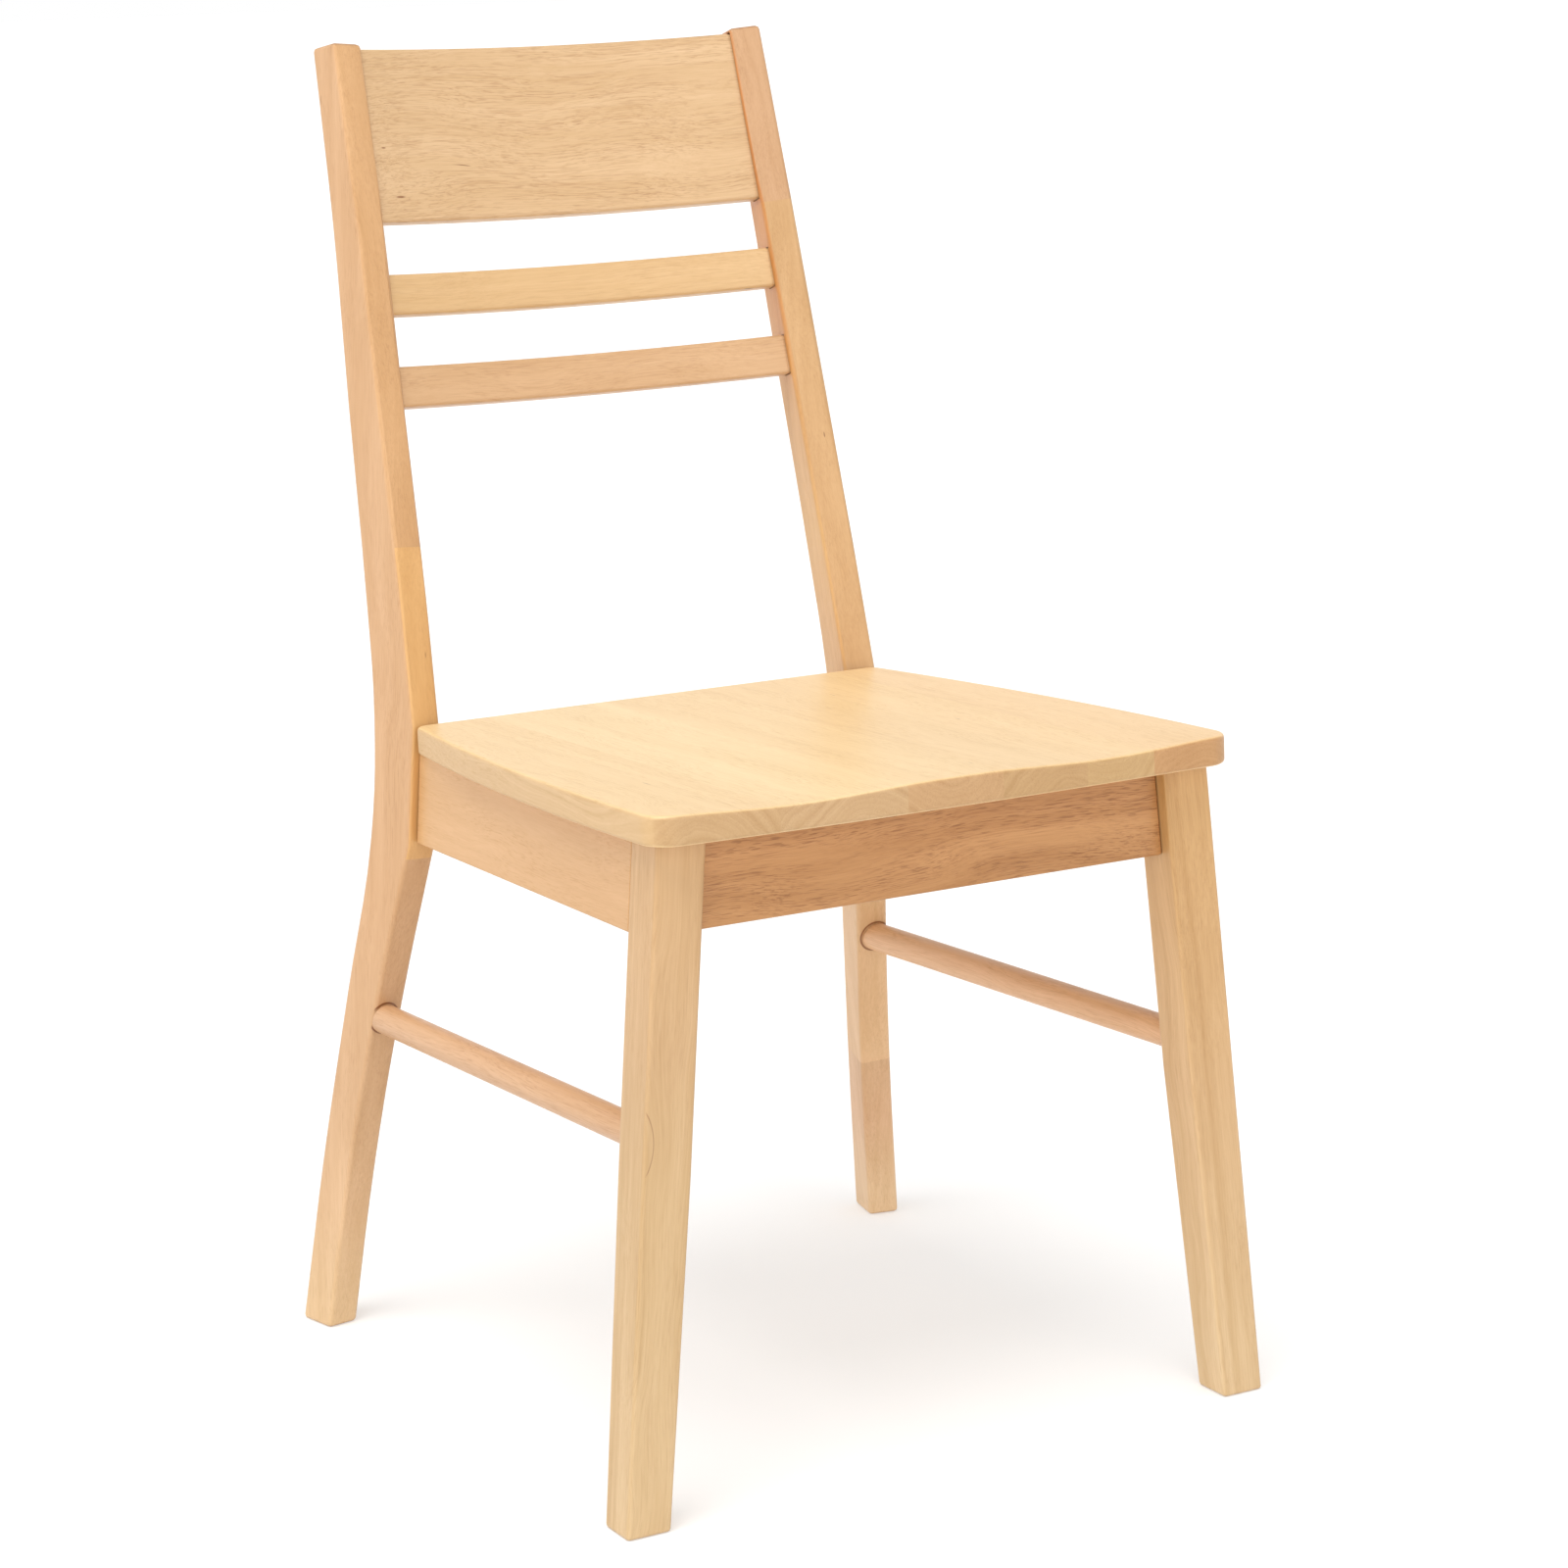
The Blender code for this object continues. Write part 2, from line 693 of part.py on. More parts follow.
def build_stretcher(label, side, leg, post):
    front, back = stretcher_line(side)
    along = (back - front).normalized()
    middle = (front + back) / 2
    front_face = meeting_face(leg, middle, -along)
    back_face = meeting_face(post, middle, along)
    shape = bmesh.new()
    rings = stretcher_end(shape, *front_face, along, -along)
    rings += reversed(stretcher_end(shape, *back_face, along, along))
    shape.faces.new(rings[0])
    shape.faces.new(rings[-1])
    for low, high in zip(rings, rings[1:]):
        for i in range(STRETCHER_STEPS):
            j = (i + 1) % STRETCHER_STEPS
            shape.faces.new((low[i], low[j], high[j], high[i]))
    mesh = mesh_of(shape, "side_stretcher_" + label)
    shade_round(mesh)
    new_piece("side_stretcher_" + label, mesh, pale_wood("stretcher_wood_" + label))
    for piece, point, out in ((leg, front_face[0], -along), (post, back_face[0], along)):
        hole = bmesh.new()
        add_cylinder(hole, point + out * TENON_LENGTH, middle, TENON_RADIUS + GAP, STRETCHER_STEPS)
        cut(piece, mesh_of(hole, "stretcher_mortise"))


# Dowels


def add_dowel(name, start, end, hosts):
    """A dowel between two points, and its hole in each of the two pieces it joins."""
    shape = bmesh.new()
    add_cylinder(shape, start, end, DOWEL_RADIUS)
    dowel = new_piece(name, mesh_of(shape, name), plain_wood(name + "_wood"))
    shade_round(dowel.data)
    ease_edges(dowel, DOWEL_CHAMFER, 1)
    spare = (end - start).normalized() * GAP
    for host in hosts:
        hole = bmesh.new()
        add_cylinder(hole, start - spare, end + spare, DOWEL_RADIUS + GAP)
        cut(host, mesh_of(hole, name + "_hole"))


def dowel_heights(middle, spacing=DOWEL_SPACING):
    return (("upper", middle + spacing / 2), ("lower", middle - spacing / 2))


def add_front_apron_dowels(apron, legs):
    y = front_apron_y() + APRON_THICKNESS / 2
    middle = (APRON_BOTTOM + under_seat(y)) / 2
    for label, side in SIDES:
        for level, z in dowel_heights(middle):
            shoulder = Vector((side * leg_inner_x(z), y, z))
            start = shoulder - Vector((side * DOWEL_IN_APRON, 0.0, 0.0))
            end = shoulder + Vector((side * DOWEL_IN_LEG, 0.0, 0.0))
            add_dowel("dowel_front_apron_" + label + "_" + level, start, end, (apron, legs[label]))


def add_back_apron_dowels(apron, posts):
    y = back_apron_y() + APRON_THICKNESS / 2
    middle = (BACK_APRON_BOTTOM + under_seat(y)) / 2
    for label, side in SIDES:
        for level, z in dowel_heights(middle, BACK_DOWEL_SPACING):
            face = post_point(side, -POST_THICKNESS / 2, 0.0, z)
            shoulder = on_plane(face, post_axis(side, (1.0, 0.0, 0.0)), y=y, z=z)
            start = shoulder - Vector((side * DOWEL_IN_APRON, 0.0, 0.0))
            end = shoulder + Vector((side * DOWEL_IN_POST, 0.0, 0.0))
            add_dowel("dowel_back_apron_" + label + "_" + level, start, end, (apron, posts[label]))


def add_side_apron_dowels(label, side, apron, leg, post):
    y = LEG_FRONT_Y + LEG_WIDTH
    for level, z in dowel_heights((side_bottom(y) + under_seat(y)) / 2):
        x = side_outer_x(y, z) - APRON_THICKNESS / 2
        shoulder = Vector((side * x, leg_back_y(z), z))
        start = shoulder - Vector((0.0, DOWEL_IN_LEG, 0.0))
        end = shoulder + Vector((0.0, DOWEL_IN_APRON, 0.0))
        add_dowel("dowel_side_apron_" + label + "_front_" + level, start, end, (apron, leg))
    y = post_point(1.0, 0.0, 0.0, POST_SEAT[0]).y
    for level, z in dowel_heights((side_bottom(y) + under_seat(y)) / 2):
        shoulder = post_point(side, POST_THICKNESS / 2 - DOWEL_POST_INSET, 0.0, z)
        start = shoulder - Vector((0.0, DOWEL_IN_APRON, 0.0))
        end = shoulder + Vector((0.0, DOWEL_IN_POST, 0.0))
        add_dowel("dowel_side_apron_" + label + "_back_" + level, start, end, (apron, post))


# Corner blocks and screws


def screw_mesh(name, length):
    """A countersunk wood screw pointing along +Z, its head's face at the origin."""
    outline = (
        (0.0, 0.0),
        (SCREW_HEAD_RADIUS, 0.0),
        (SCREW_HEAD_RADIUS, SCREW_HEAD_HEIGHT * 0.2),
        (SCREW_RADIUS, SCREW_HEAD_HEIGHT),
        (SCREW_RADIUS, length - SCREW_POINT),
        (0.0, length),
    )
    mesh = bpy.data.meshes.new(name)
    lines = [(i, i + 1) for i in range(len(outline) - 1)]
    mesh.from_pydata([(r, 0.0, z) for r, z in outline], lines, [])
    return mesh


def add_screw(name, head, point, hosts):
    """A screw from its head's face to its point, and a stepped hole for it in each host."""
    along = (point - head).normalized()
    screw = new_piece(name, screw_mesh(name, (point - head).length), steel(name + "_steel"))
    turn = along.to_track_quat("Z", "Y").to_matrix().to_4x4()
    screw.matrix_world = Matrix.Translation(head) @ turn
    turned = screw.modifiers.new("turned", "SCREW")
    turned.steps = 12
    turned.render_steps = 12
    turned.use_merge_vertices = True
    turned.merge_threshold = 0.00001
    turned.use_normal_calculate = True
    for host in hosts:
        shank = bmesh.new()
        add_cylinder(shank, head, point + along * GAP, SCREW_RADIUS + GAP, 12)
        cut(host, mesh_of(shank, name + "_hole"))
    bore = bmesh.new()
    floor = head + along * (SCREW_HEAD_HEIGHT + GAP)
    add_cylinder(bore, head - along * BLOCK_REACH, floor, SCREW_HEAD_RADIUS + GAP, 12)
    cut(hosts[0], mesh_of(bore, name + "_counterbore"))


def front_block_corners(z):
    """Plan corners of the left front block at a height."""
    y = front_apron_y() + APRON_THICKNESS + GAP
    near_y = leg_back_y(z) + 2 * BLOCK_CORNER_CLEARANCE
    far_y = y + BLOCK_REACH
    return [
        (leg_inner_x(z) - BLOCK_CORNER_CLEARANCE, y),
        (side_outer_x(y, z) - APRON_THICKNESS - BLOCK_REACH, y),
        (side_outer_x(far_y, z) - APRON_THICKNESS - GAP, far_y),
        (side_outer_x(near_y, z) - APRON_THICKNESS - GAP, near_y),
    ]


def back_block_corners(z):
    """Plan corners of the left back block at a height."""
    y = back_apron_y() - GAP
    near_y = y - BACK_APRON_SETBACK - 2 * BLOCK_CORNER_CLEARANCE
    far_y = y - BLOCK_REACH
    near_x = side_outer_x(near_y, z) - APRON_THICKNESS - GAP
    return [
        (near_x - 0.5 * BLOCK_CORNER_CLEARANCE, y),
        (near_x - BLOCK_REACH, y),
        (side_outer_x(far_y, z) - APRON_THICKNESS - GAP, far_y),
        (near_x, near_y),
    ]


def build_block(name, side, corners_at):
    middle_y = sum(corner[1] for corner in corners_at(APRON_BOTTOM)) / 4
    sections = []
    for drop in (BLOCK_HEIGHT, 0.0):
        flat = corners_at(under_seat(middle_y) - drop)
        sections.append([Vector((side * x, y, under_seat(y) - GAP - drop)) for x, y in flat])
    block = new_piece(name, loft(name, sections), plain_wood(name + "_wood"))
    ease_edges(block, BLOCK_EDGE_RADIUS, 1)
    return block


def add_block_screws(name, side, block, end_apron, side_apron, seat, corners_at, forward):
    """One screw into the end apron, one into the side apron and one up into the seat."""
    flat = corners_at(under_seat(corners_at(APRON_BOTTOM)[0][1]) - BLOCK_HEIGHT / 2)
    end_y = flat[0][1]
    middle = under_seat(end_y) - BLOCK_HEIGHT / 2
    seat_in = Vector((0.0, 0.0, 1.0))
    end_in = Vector((0.0, forward, 0.0))
    side_in = Vector((side, 0.0, 0.0))
    start = Vector((side * (flat[1][0] + BLOCK_SCREW_INSET), end_y, middle + BLOCK_SCREW_STAGGER))
    head = start - end_in * BLOCK_SCREW_UNDER_HEAD
    add_screw(name + "_end_screw", head, start + end_in * BLOCK_SCREW_IN_APRON, (block, end_apron))
    side_y = flat[2][1] + forward * BLOCK_SCREW_INSET
    face_x = side_outer_x(side_y, middle) - APRON_THICKNESS - GAP
    start = Vector((side * face_x, side_y, middle - BLOCK_SCREW_STAGGER))
    head = start - side_in * BLOCK_SCREW_UNDER_HEAD
    add_screw(name + "_side_screw", head, start + side_in * BLOCK_SCREW_IN_APRON, (block, side_apron))
    x = side_outer_x(end_y, middle) - APRON_THICKNESS - SEAT_SCREW_INSET
    y = end_y - forward * SEAT_SCREW_INSET
    head = Vector((side * x, y, under_seat(y) - BLOCK_HEIGHT + SCREW_SINK))
    tip = Vector((side * x, y, under_seat(y) + SEAT_SCREW_IN_SEAT))
    add_screw(name + "_seat_screw", head, head + seat_in * (tip - head).length, (block, seat))


def build_chair():
    seat = build_seat()
    legs = {}
    posts = {}
    rails = {}
    for label, side in SIDES:
        legs[label] = build_front_leg(label, side)
        posts[label] = build_post(label, side)
        rails[label] = build_side_apron(label, side)
    front_apron = build_front_apron()
    back_apron = build_back_apron()
    both = (posts["left"], posts["right"])
    build_slat("crest_slat", CREST_MIDDLE, CREST_SETBACK, CREST_HEIGHT, both)
    build_slat("middle_slat", MIDDLE_SLAT_MIDDLE, LOW_SLAT_SETBACK, LOW_SLAT_HEIGHT, both)
    build_slat("lower_slat", LOWER_SLAT_MIDDLE, LOW_SLAT_SETBACK, LOW_SLAT_HEIGHT, both)
    add_front_apron_dowels(front_apron, legs)
    add_back_apron_dowels(back_apron, posts)
    for label, side in SIDES:
        build_stretcher(label, side, legs[label], posts[label])
        add_side_apron_dowels(label, side, rails[label], legs[label], posts[label])
        for place, corners_at, apron, forward in (
            ("front", front_block_corners, front_apron, -1.0),
            ("back", back_block_corners, back_apron, 1.0),
        ):
            name = "corner_block_" + place + "_" + label
            block = build_block(name, side, corners_at)
            add_block_screws(name, side, block, apron, rails[label], seat, corners_at, forward)


empty_scene()
chair = new_collection("dining_chair")
cutters = new_collection("dining_chair_cutters")
build_chair()
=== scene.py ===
"""Looks of the dining chair: finished wood pieces round a fixed CAD frame, on a plain floor in soft light.

Lengths are metres, -Y is the front, +Z is up and +X is the sitter's left.
"""

import math

import bmesh
import bpy
import numpy as np
from mathutils import Matrix, Vector


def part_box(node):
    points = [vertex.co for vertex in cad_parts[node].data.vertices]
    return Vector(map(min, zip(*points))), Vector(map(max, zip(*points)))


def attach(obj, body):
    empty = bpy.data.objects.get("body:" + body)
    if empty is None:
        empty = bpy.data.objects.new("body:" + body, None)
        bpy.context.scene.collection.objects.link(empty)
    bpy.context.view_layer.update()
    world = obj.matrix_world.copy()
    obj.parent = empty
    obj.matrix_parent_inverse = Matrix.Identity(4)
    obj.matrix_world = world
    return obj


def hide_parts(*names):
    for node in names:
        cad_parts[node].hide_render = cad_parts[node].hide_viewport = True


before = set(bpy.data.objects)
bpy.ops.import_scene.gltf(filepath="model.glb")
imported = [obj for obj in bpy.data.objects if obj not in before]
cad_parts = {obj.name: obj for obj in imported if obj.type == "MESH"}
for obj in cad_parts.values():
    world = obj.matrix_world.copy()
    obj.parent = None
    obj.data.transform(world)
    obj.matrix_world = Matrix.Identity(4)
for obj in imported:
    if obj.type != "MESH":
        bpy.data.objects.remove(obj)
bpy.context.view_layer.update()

SIDES = (("left", 1.0), ("right", -1.0))

# Camera: a long lens, a little above seat height, to the sitter's front right
CAMERA_PLACE = (-1.2791, -2.3197, 0.9586)
CAMERA_YAW = math.radians(29.444)
CAMERA_PITCH = math.radians(-12.069)
CAMERA_ROLL = math.radians(-1.501)
CAMERA_LENS = 93.84
SENSOR_WIDTH = 36.0

# Seat board
SEAT_PITCH = 0.0295
SEAT_THICKNESS = 0.019
SEAT_FRONT_BOW = 0.0055
SEAT_SIDE_BOW = 0.0076
SEAT_FRONT_HALF_WIDTH = 0.2075
SEAT_BACK_HALF_WIDTH = 0.180
SEAT_DEPTH = 0.4015
SEAT_FRONT_CORNER = 0.020
SEAT_BACK_CORNER = 0.010
SEAT_EDGE_RADIUS = 0.0027
SEAT_FRONT_STEPS = 16  # in half of the front edge
SEAT_SIDE_STEPS = 20
SEAT_FRONT_CORNER_STEPS = 12
SEAT_BACK_CORNER_STEPS = 8
SEAT_EDGE_STEPS = 4
SEAT_SLICE_WIDTH = 0.006  # strips across the seat, fine enough for its hollows
SEAT_SLICES_EACH_SIDE = 34
SEAT_SLICES_ALONG = 12
HOLLOW_OFFSET = 0.110
HOLLOW_HALF_WIDTH = 0.098
HOLLOW_DEPTH = 0.0028
STAVE_JOINTS = (-0.125, -0.038, 0.030, 0.092, 0.143)

# Back posts: where each stands, and how it is turned and leaned
POST_FOOT = (0.2207, 0.2014)
POST_TURN = math.radians(11.4)
POST_LEAN = math.radians(4.9)

# Glued joints across a post: length up the post, front edge there, backward lean of the outline there
LEFT_POST_JOINTS = ((0.7610, -0.0030, 0.24), (0.4100, -0.0790, 0.0), (0.1260, -0.0203, -0.20))
STRIP_TOP = (0.5505, -0.0535, 0.24)
STRIP_BOTTOM = (0.3425, -0.0752, -0.25)

# Slats' ends
SLAT_HOUSING = 0.0117
SHOULDER = 0.0012  # length of a slat just outside its housing that is thinned
SHOULDER_DROP = 0.0004

# Meshes
SHARP_ANGLE = math.radians(38)
FLAT_ANGLE = math.radians(0.3)
SAME_POINT = 0.000005
STRAIGHT_FORWARD = 0.8  # least forward part of a post's front face's normal

# Noises in the wood, in cells per metre along the grain and across it
DRIFT_CELLS = (7.0, 16.0, 16.0)
BROAD_CELLS = (2.4, 52.0, 52.0)
FIBRE_CELLS = (22.0, 850.0, 850.0)
HAIR_CELLS = (10.0, 420.0, 420.0)
DASH_CELLS = (70.0, 1300.0, 1300.0)
CLUSTER_CELLS = (7.0, 60.0, 60.0)
FLECK_CELLS = (30.0, 330.0, 330.0)
RING_CELLS = 260.0
GRAIN_SWAY = 0.024
RING_SWAY = 0.008

# Wood finish
RING_DEPTH = 0.55
END_RING_DEPTH = 1.5  # added on end grain
FIBRE_DEPTH = 0.9
EARLY_LATE_SPREAD = (0.085, 0.12, 0.19)  # how far pale and dark rings stand from the average
LINE_TINT = (0.62, 0.47, 0.34, 1.0)
PORE_TINT = (0.40, 0.27, 0.17, 1.0)
FLECK_TINT = (0.30, 0.18, 0.10, 1.0)
END_TINT = (0.76, 0.68, 0.60, 1.0)
# Colour of blemishes and cracks, and of the painted shadow lines round joints
MARK_AND_SHADOW_TINT = (0.42, 0.27, 0.18, 1.0)
LACQUER = {"Coat Weight": 0.12, "Coat Roughness": 0.28}
RELIEF = {"Strength": 0.25, "Distance": 0.0002}
FACING = (0.45, 0.92)  # between which a face begins to count as facing a direction, and does so fully
STEEL_DARK = (0.46, 0.46, 0.47, 1.0)
STEEL_PALE = (0.66, 0.66, 0.66, 1.0)

# Studio
WARM_WHITE = (1.0, 0.985, 0.96)
FLOOR_HALF = 40.0
FLOOR_LOOK = {
    "Base Color": (0.60, 0.60, 0.60, 1.0),
    "Emission Color": (1.0, 1.0, 1.0, 1.0),
    "Emission Strength": 0.40,
    "Roughness": 0.9,
    "Specular IOR Level": 0.1,
}
WORLD_HEIGHTS = (0.15, 0.90)  # where the surroundings begin to dim, and where they are dimmest
WORLD_DIMMEST = 0.55
# Name, strength, direction, softness in degrees
SUNS = (
    ("key", 1.8, (0.30, 0.22, -1.0), 35),
    ("front_fill", 0.70, (0.10, 1.00, -0.22), 60),
    ("side_fill", 0.70, (1.00, 0.15, -0.22), 60),
)


# Wood


def add_node(tree, kind, inputs=None, **settings):
    """A node with its settings, its inputs set or linked by name or place."""
    made = tree.nodes.new(kind)
    for key, value in settings.items():
        setattr(made, key, value)
    for key, value in (inputs or {}).items():
        if isinstance(value, bpy.types.NodeSocket):
            tree.links.new(value, made.inputs[key])
        else:
            made.inputs[key].default_value = value
    return made


def arithmetic(tree, operation, a, b=0.0, c=0.0, clamp=False):
    inputs = {0: a, 1: b, 2: c}
    return add_node(tree, "ShaderNodeMath", inputs, operation=operation, use_clamp=clamp).outputs[0]


def vector_math(tree, operation, *values):
    """The outputs of a vector sum; a length or a product is its Value."""
    return add_node(tree, "ShaderNodeVectorMath", dict(enumerate(values)), operation=operation).outputs


def remap(tree, value, low, high, to_low=0.0, to_high=1.0):
    inputs = {"Value": value, "From Min": low, "From Max": high, "To Min": to_low, "To Max": to_high}
    return add_node(tree, "ShaderNodeMapRange", inputs, interpolation_type="SMOOTHSTEP").outputs[0]


def stretched_noise(tree, vector, scale, detail, roughness=0.5):
    """Noise whose cells are 1 / scale metres along each axis."""
    spread = vector_math(tree, "MULTIPLY", vector, scale)[0]
    inputs = {"Vector": spread, "Scale": 1.0, "Detail": detail, "Roughness": roughness}
    return add_node(tree, "ShaderNodeTexNoise", inputs).outputs[0]


def mix_colours(tree, share, a, b, blend="MIX"):
    made = add_node(tree, "ShaderNodeMix", data_type="RGBA", blend_type=blend)
    for key, value in ((0, share), (6, a), (7, b)):
        if isinstance(value, bpy.types.NodeSocket):
            tree.links.new(value, made.inputs[key])
        else:
            made.inputs[key].default_value = value
    return made.outputs[2]


def build_wood_figure():
    """Colour and relief of sawn wood. The grain runs along X, and the rings curve round X."""
    tree = bpy.data.node_groups.new("wood_figure", "ShaderNodeTree")
    sockets = tree.interface
    for name, kind in (
        ("Vector", "NodeSocketVector"),
        ("End", "NodeSocketFloat"),
        ("Light", "NodeSocketColor"),
        ("Dark", "NodeSocketColor"),
        ("Tone", "NodeSocketFloat"),
        ("Lines", "NodeSocketFloat"),
        ("Pores", "NodeSocketFloat"),
    ):
        sockets.new_socket(name, in_out="INPUT", socket_type=kind)
    for name, kind in (
        ("Color", "NodeSocketColor"),
        ("Roughness", "NodeSocketFloat"),
        ("Height", "NodeSocketFloat"),
    ):
        sockets.new_socket(name, in_out="OUTPUT", socket_type=kind)
    given = tree.nodes.new("NodeGroupInput").outputs
    made = tree.nodes.new("NodeGroupOutput").inputs

    def math_of(operation, *values, clamp=False):
        return arithmetic(tree, operation, *values, clamp=clamp)

    # Noises, from the broadest to the finest, in wood that wanders slightly off its grain
    drift = stretched_noise(tree, given["Vector"], DRIFT_CELLS, 1.0)
    sway = math_of("MULTIPLY_ADD", drift, GRAIN_SWAY, -GRAIN_SWAY / 2)
    shift = add_node(tree, "ShaderNodeCombineXYZ", {1: sway, 2: sway})
    bent = vector_math(tree, "ADD", given["Vector"], shift.outputs[0])[0]
    broad = stretched_noise(tree, bent, BROAD_CELLS, 2.0)
    parts = add_node(tree, "ShaderNodeSeparateXYZ", {0: bent})
    squares = [math_of("MULTIPLY", parts.outputs[i], parts.outputs[i]) for i in (1, 2)]
    radius = math_of("MULTIPLY_ADD", broad, RING_SWAY, math_of("SQRT", math_of("ADD", *squares)))
    ring_place = {
        "W": math_of("MULTIPLY", radius, RING_CELLS),
        "Scale": 1.0,
        "Detail": 3.0,
        "Roughness": 0.6,
    }
    rings = add_node(tree, "ShaderNodeTexNoise", ring_place, noise_dimensions="1D").outputs[0]
    fibre = stretched_noise(tree, bent, FIBRE_CELLS, 3.0, 0.6)
    hairs = stretched_noise(tree, bent, HAIR_CELLS, 3.0, 0.6)
    dashes = stretched_noise(tree, bent, DASH_CELLS, 1.0)
    clusters = stretched_noise(tree, bent, CLUSTER_CELLS, 1.0)
    rare = stretched_noise(tree, bent, FLECK_CELLS, 1.0)

    # Body colour: broad tone, growth rings, which show most on end grain, and fibres
    share = math_of("MULTIPLY", math_of("SUBTRACT", broad, 0.5), given["Tone"])
    ring_depth = math_of("MULTIPLY_ADD", given["End"], END_RING_DEPTH, RING_DEPTH)
    share = math_of("MULTIPLY_ADD", math_of("SUBTRACT", rings, 0.5), ring_depth, share)
    share = math_of("MULTIPLY_ADD", math_of("SUBTRACT", fibre, 0.5), FIBRE_DEPTH, share)
    share = math_of("ADD", share, 0.5, clamp=True)
    body = mix_colours(tree, share, given["Light"], given["Dark"])

    # Dark lines, open pores, rare flecks and darker end grain
    off_line = math_of("ABSOLUTE", math_of("SUBTRACT", hairs, 0.5))
    line = math_of("MULTIPLY", remap(tree, off_line, 0.045, 0.0), remap(tree, clusters, 0.15, 0.60))
    lined = mix_colours(tree, math_of("MULTIPLY", line, given["Lines"]), body, LINE_TINT, "MULTIPLY")
    open_pores = math_of("MULTIPLY", remap(tree, dashes, 0.54, 0.66), remap(tree, clusters, 0.22, 0.60))
    pore_share = math_of("MULTIPLY", open_pores, given["Pores"], clamp=True)
    marked = mix_colours(tree, pore_share, lined, PORE_TINT, "MULTIPLY")
    fleck = math_of("MULTIPLY", remap(tree, rare, 0.80, 0.86), 0.8)
    flecked = mix_colours(tree, fleck, marked, FLECK_TINT, "MULTIPLY")
    ended = mix_colours(tree, given["End"], flecked, END_TINT, "MULTIPLY")
    tree.links.new(ended, made["Color"])

    # Satin gloss, and relief that sinks at the pores
    gloss = math_of("MULTIPLY_ADD", fibre, 0.10, 0.37)
    gloss = math_of("MULTIPLY_ADD", open_pores, 0.12, gloss)
    tree.links.new(math_of("MULTIPLY_ADD", given["End"], 0.10, gloss), made["Roughness"])
    relief = math_of("SUBTRACT", math_of("MULTIPLY", fibre, 0.35), open_pores)
    tree.links.new(relief, made["Height"])
    return tree


def facing_share(tree, normal, direction, both_ways=True):
    """1 on faces across the direction, 0 on faces along it and, if not both ways, on faces turned away."""
    facing = vector_math(tree, "DOT_PRODUCT", normal, direction)["Value"]
    if both_ways:
        facing = arithmetic(tree, "ABSOLUTE", facing)
    return remap(tree, facing, *FACING)


def mark_share(tree, local, turn, mark):
    """A spot that fades out at its reach along each axis of the wood."""
    centre, reach, strength = mark
    offset = vector_math(tree, "SUBTRACT", local, turn.transposed() @ Vector(centre))[0]
    length = vector_math(tree, "LENGTH", vector_math(tree, "DIVIDE", offset, reach)[0])["Value"]
    return remap(tree, length, 1.0, 0.3, 0.0, strength)


def dark_arc_share(tree, place, normal, dark_arc):
    """A thin dark curved line on a front face, where it meets a round surface about an axis: a crack on a
    leg, and the painted shadow line round a stretcher's end.

    The line fades out at its reach from its middle point.
    """
    centre, axis, radius, middle, reach, width, strength = dark_arc
    from_centre = vector_math(tree, "SUBTRACT", place, centre)[0]
    off_axis = vector_math(tree, "CROSS_PRODUCT", from_centre, axis)[0]
    spoke = vector_math(tree, "LENGTH", off_axis)["Value"]
    off_arc = arithmetic(tree, "ABSOLUTE", arithmetic(tree, "SUBTRACT", spoke, radius))
    away = vector_math(tree, "DISTANCE", place, middle)["Value"]
    on_arc = remap(tree, off_arc, width, width * 0.3)
    near_middle = remap(tree, away, reach, reach * 0.8)
    share = arithmetic(tree, "MULTIPLY", on_arc, near_middle)
    front = facing_share(tree, normal, FORWARDS, both_ways=False)
    return arithmetic(tree, "MULTIPLY", share, arithmetic(tree, "MULTIPLY", front, strength))


def painted_light_by_height(tree, place, colour, drift):
    """The wood's colour times a tint that changes with height: painted light and shade."""
    heights = [height for height, _ in drift]
    split = add_node(tree, "ShaderNodeSeparateXYZ", {0: place})
    inputs = {"Value": split.outputs[2], "From Min": heights[0], "From Max": heights[-1]}
    share = add_node(tree, "ShaderNodeMapRange", inputs).outputs[0]
    ramp = add_node(tree, "ShaderNodeValToRGB", {0: share})
    while len(ramp.color_ramp.elements) < len(drift):
        ramp.color_ramp.elements.new(0.5)
    for element, (height, tint) in zip(ramp.color_ramp.elements, drift):
        element.position = (height - heights[0]) / (heights[-1] - heights[0])
        element.color = (*tint, 1.0)
    return mix_colours(tree, 1.0, colour, ramp.outputs[0], "MULTIPLY")


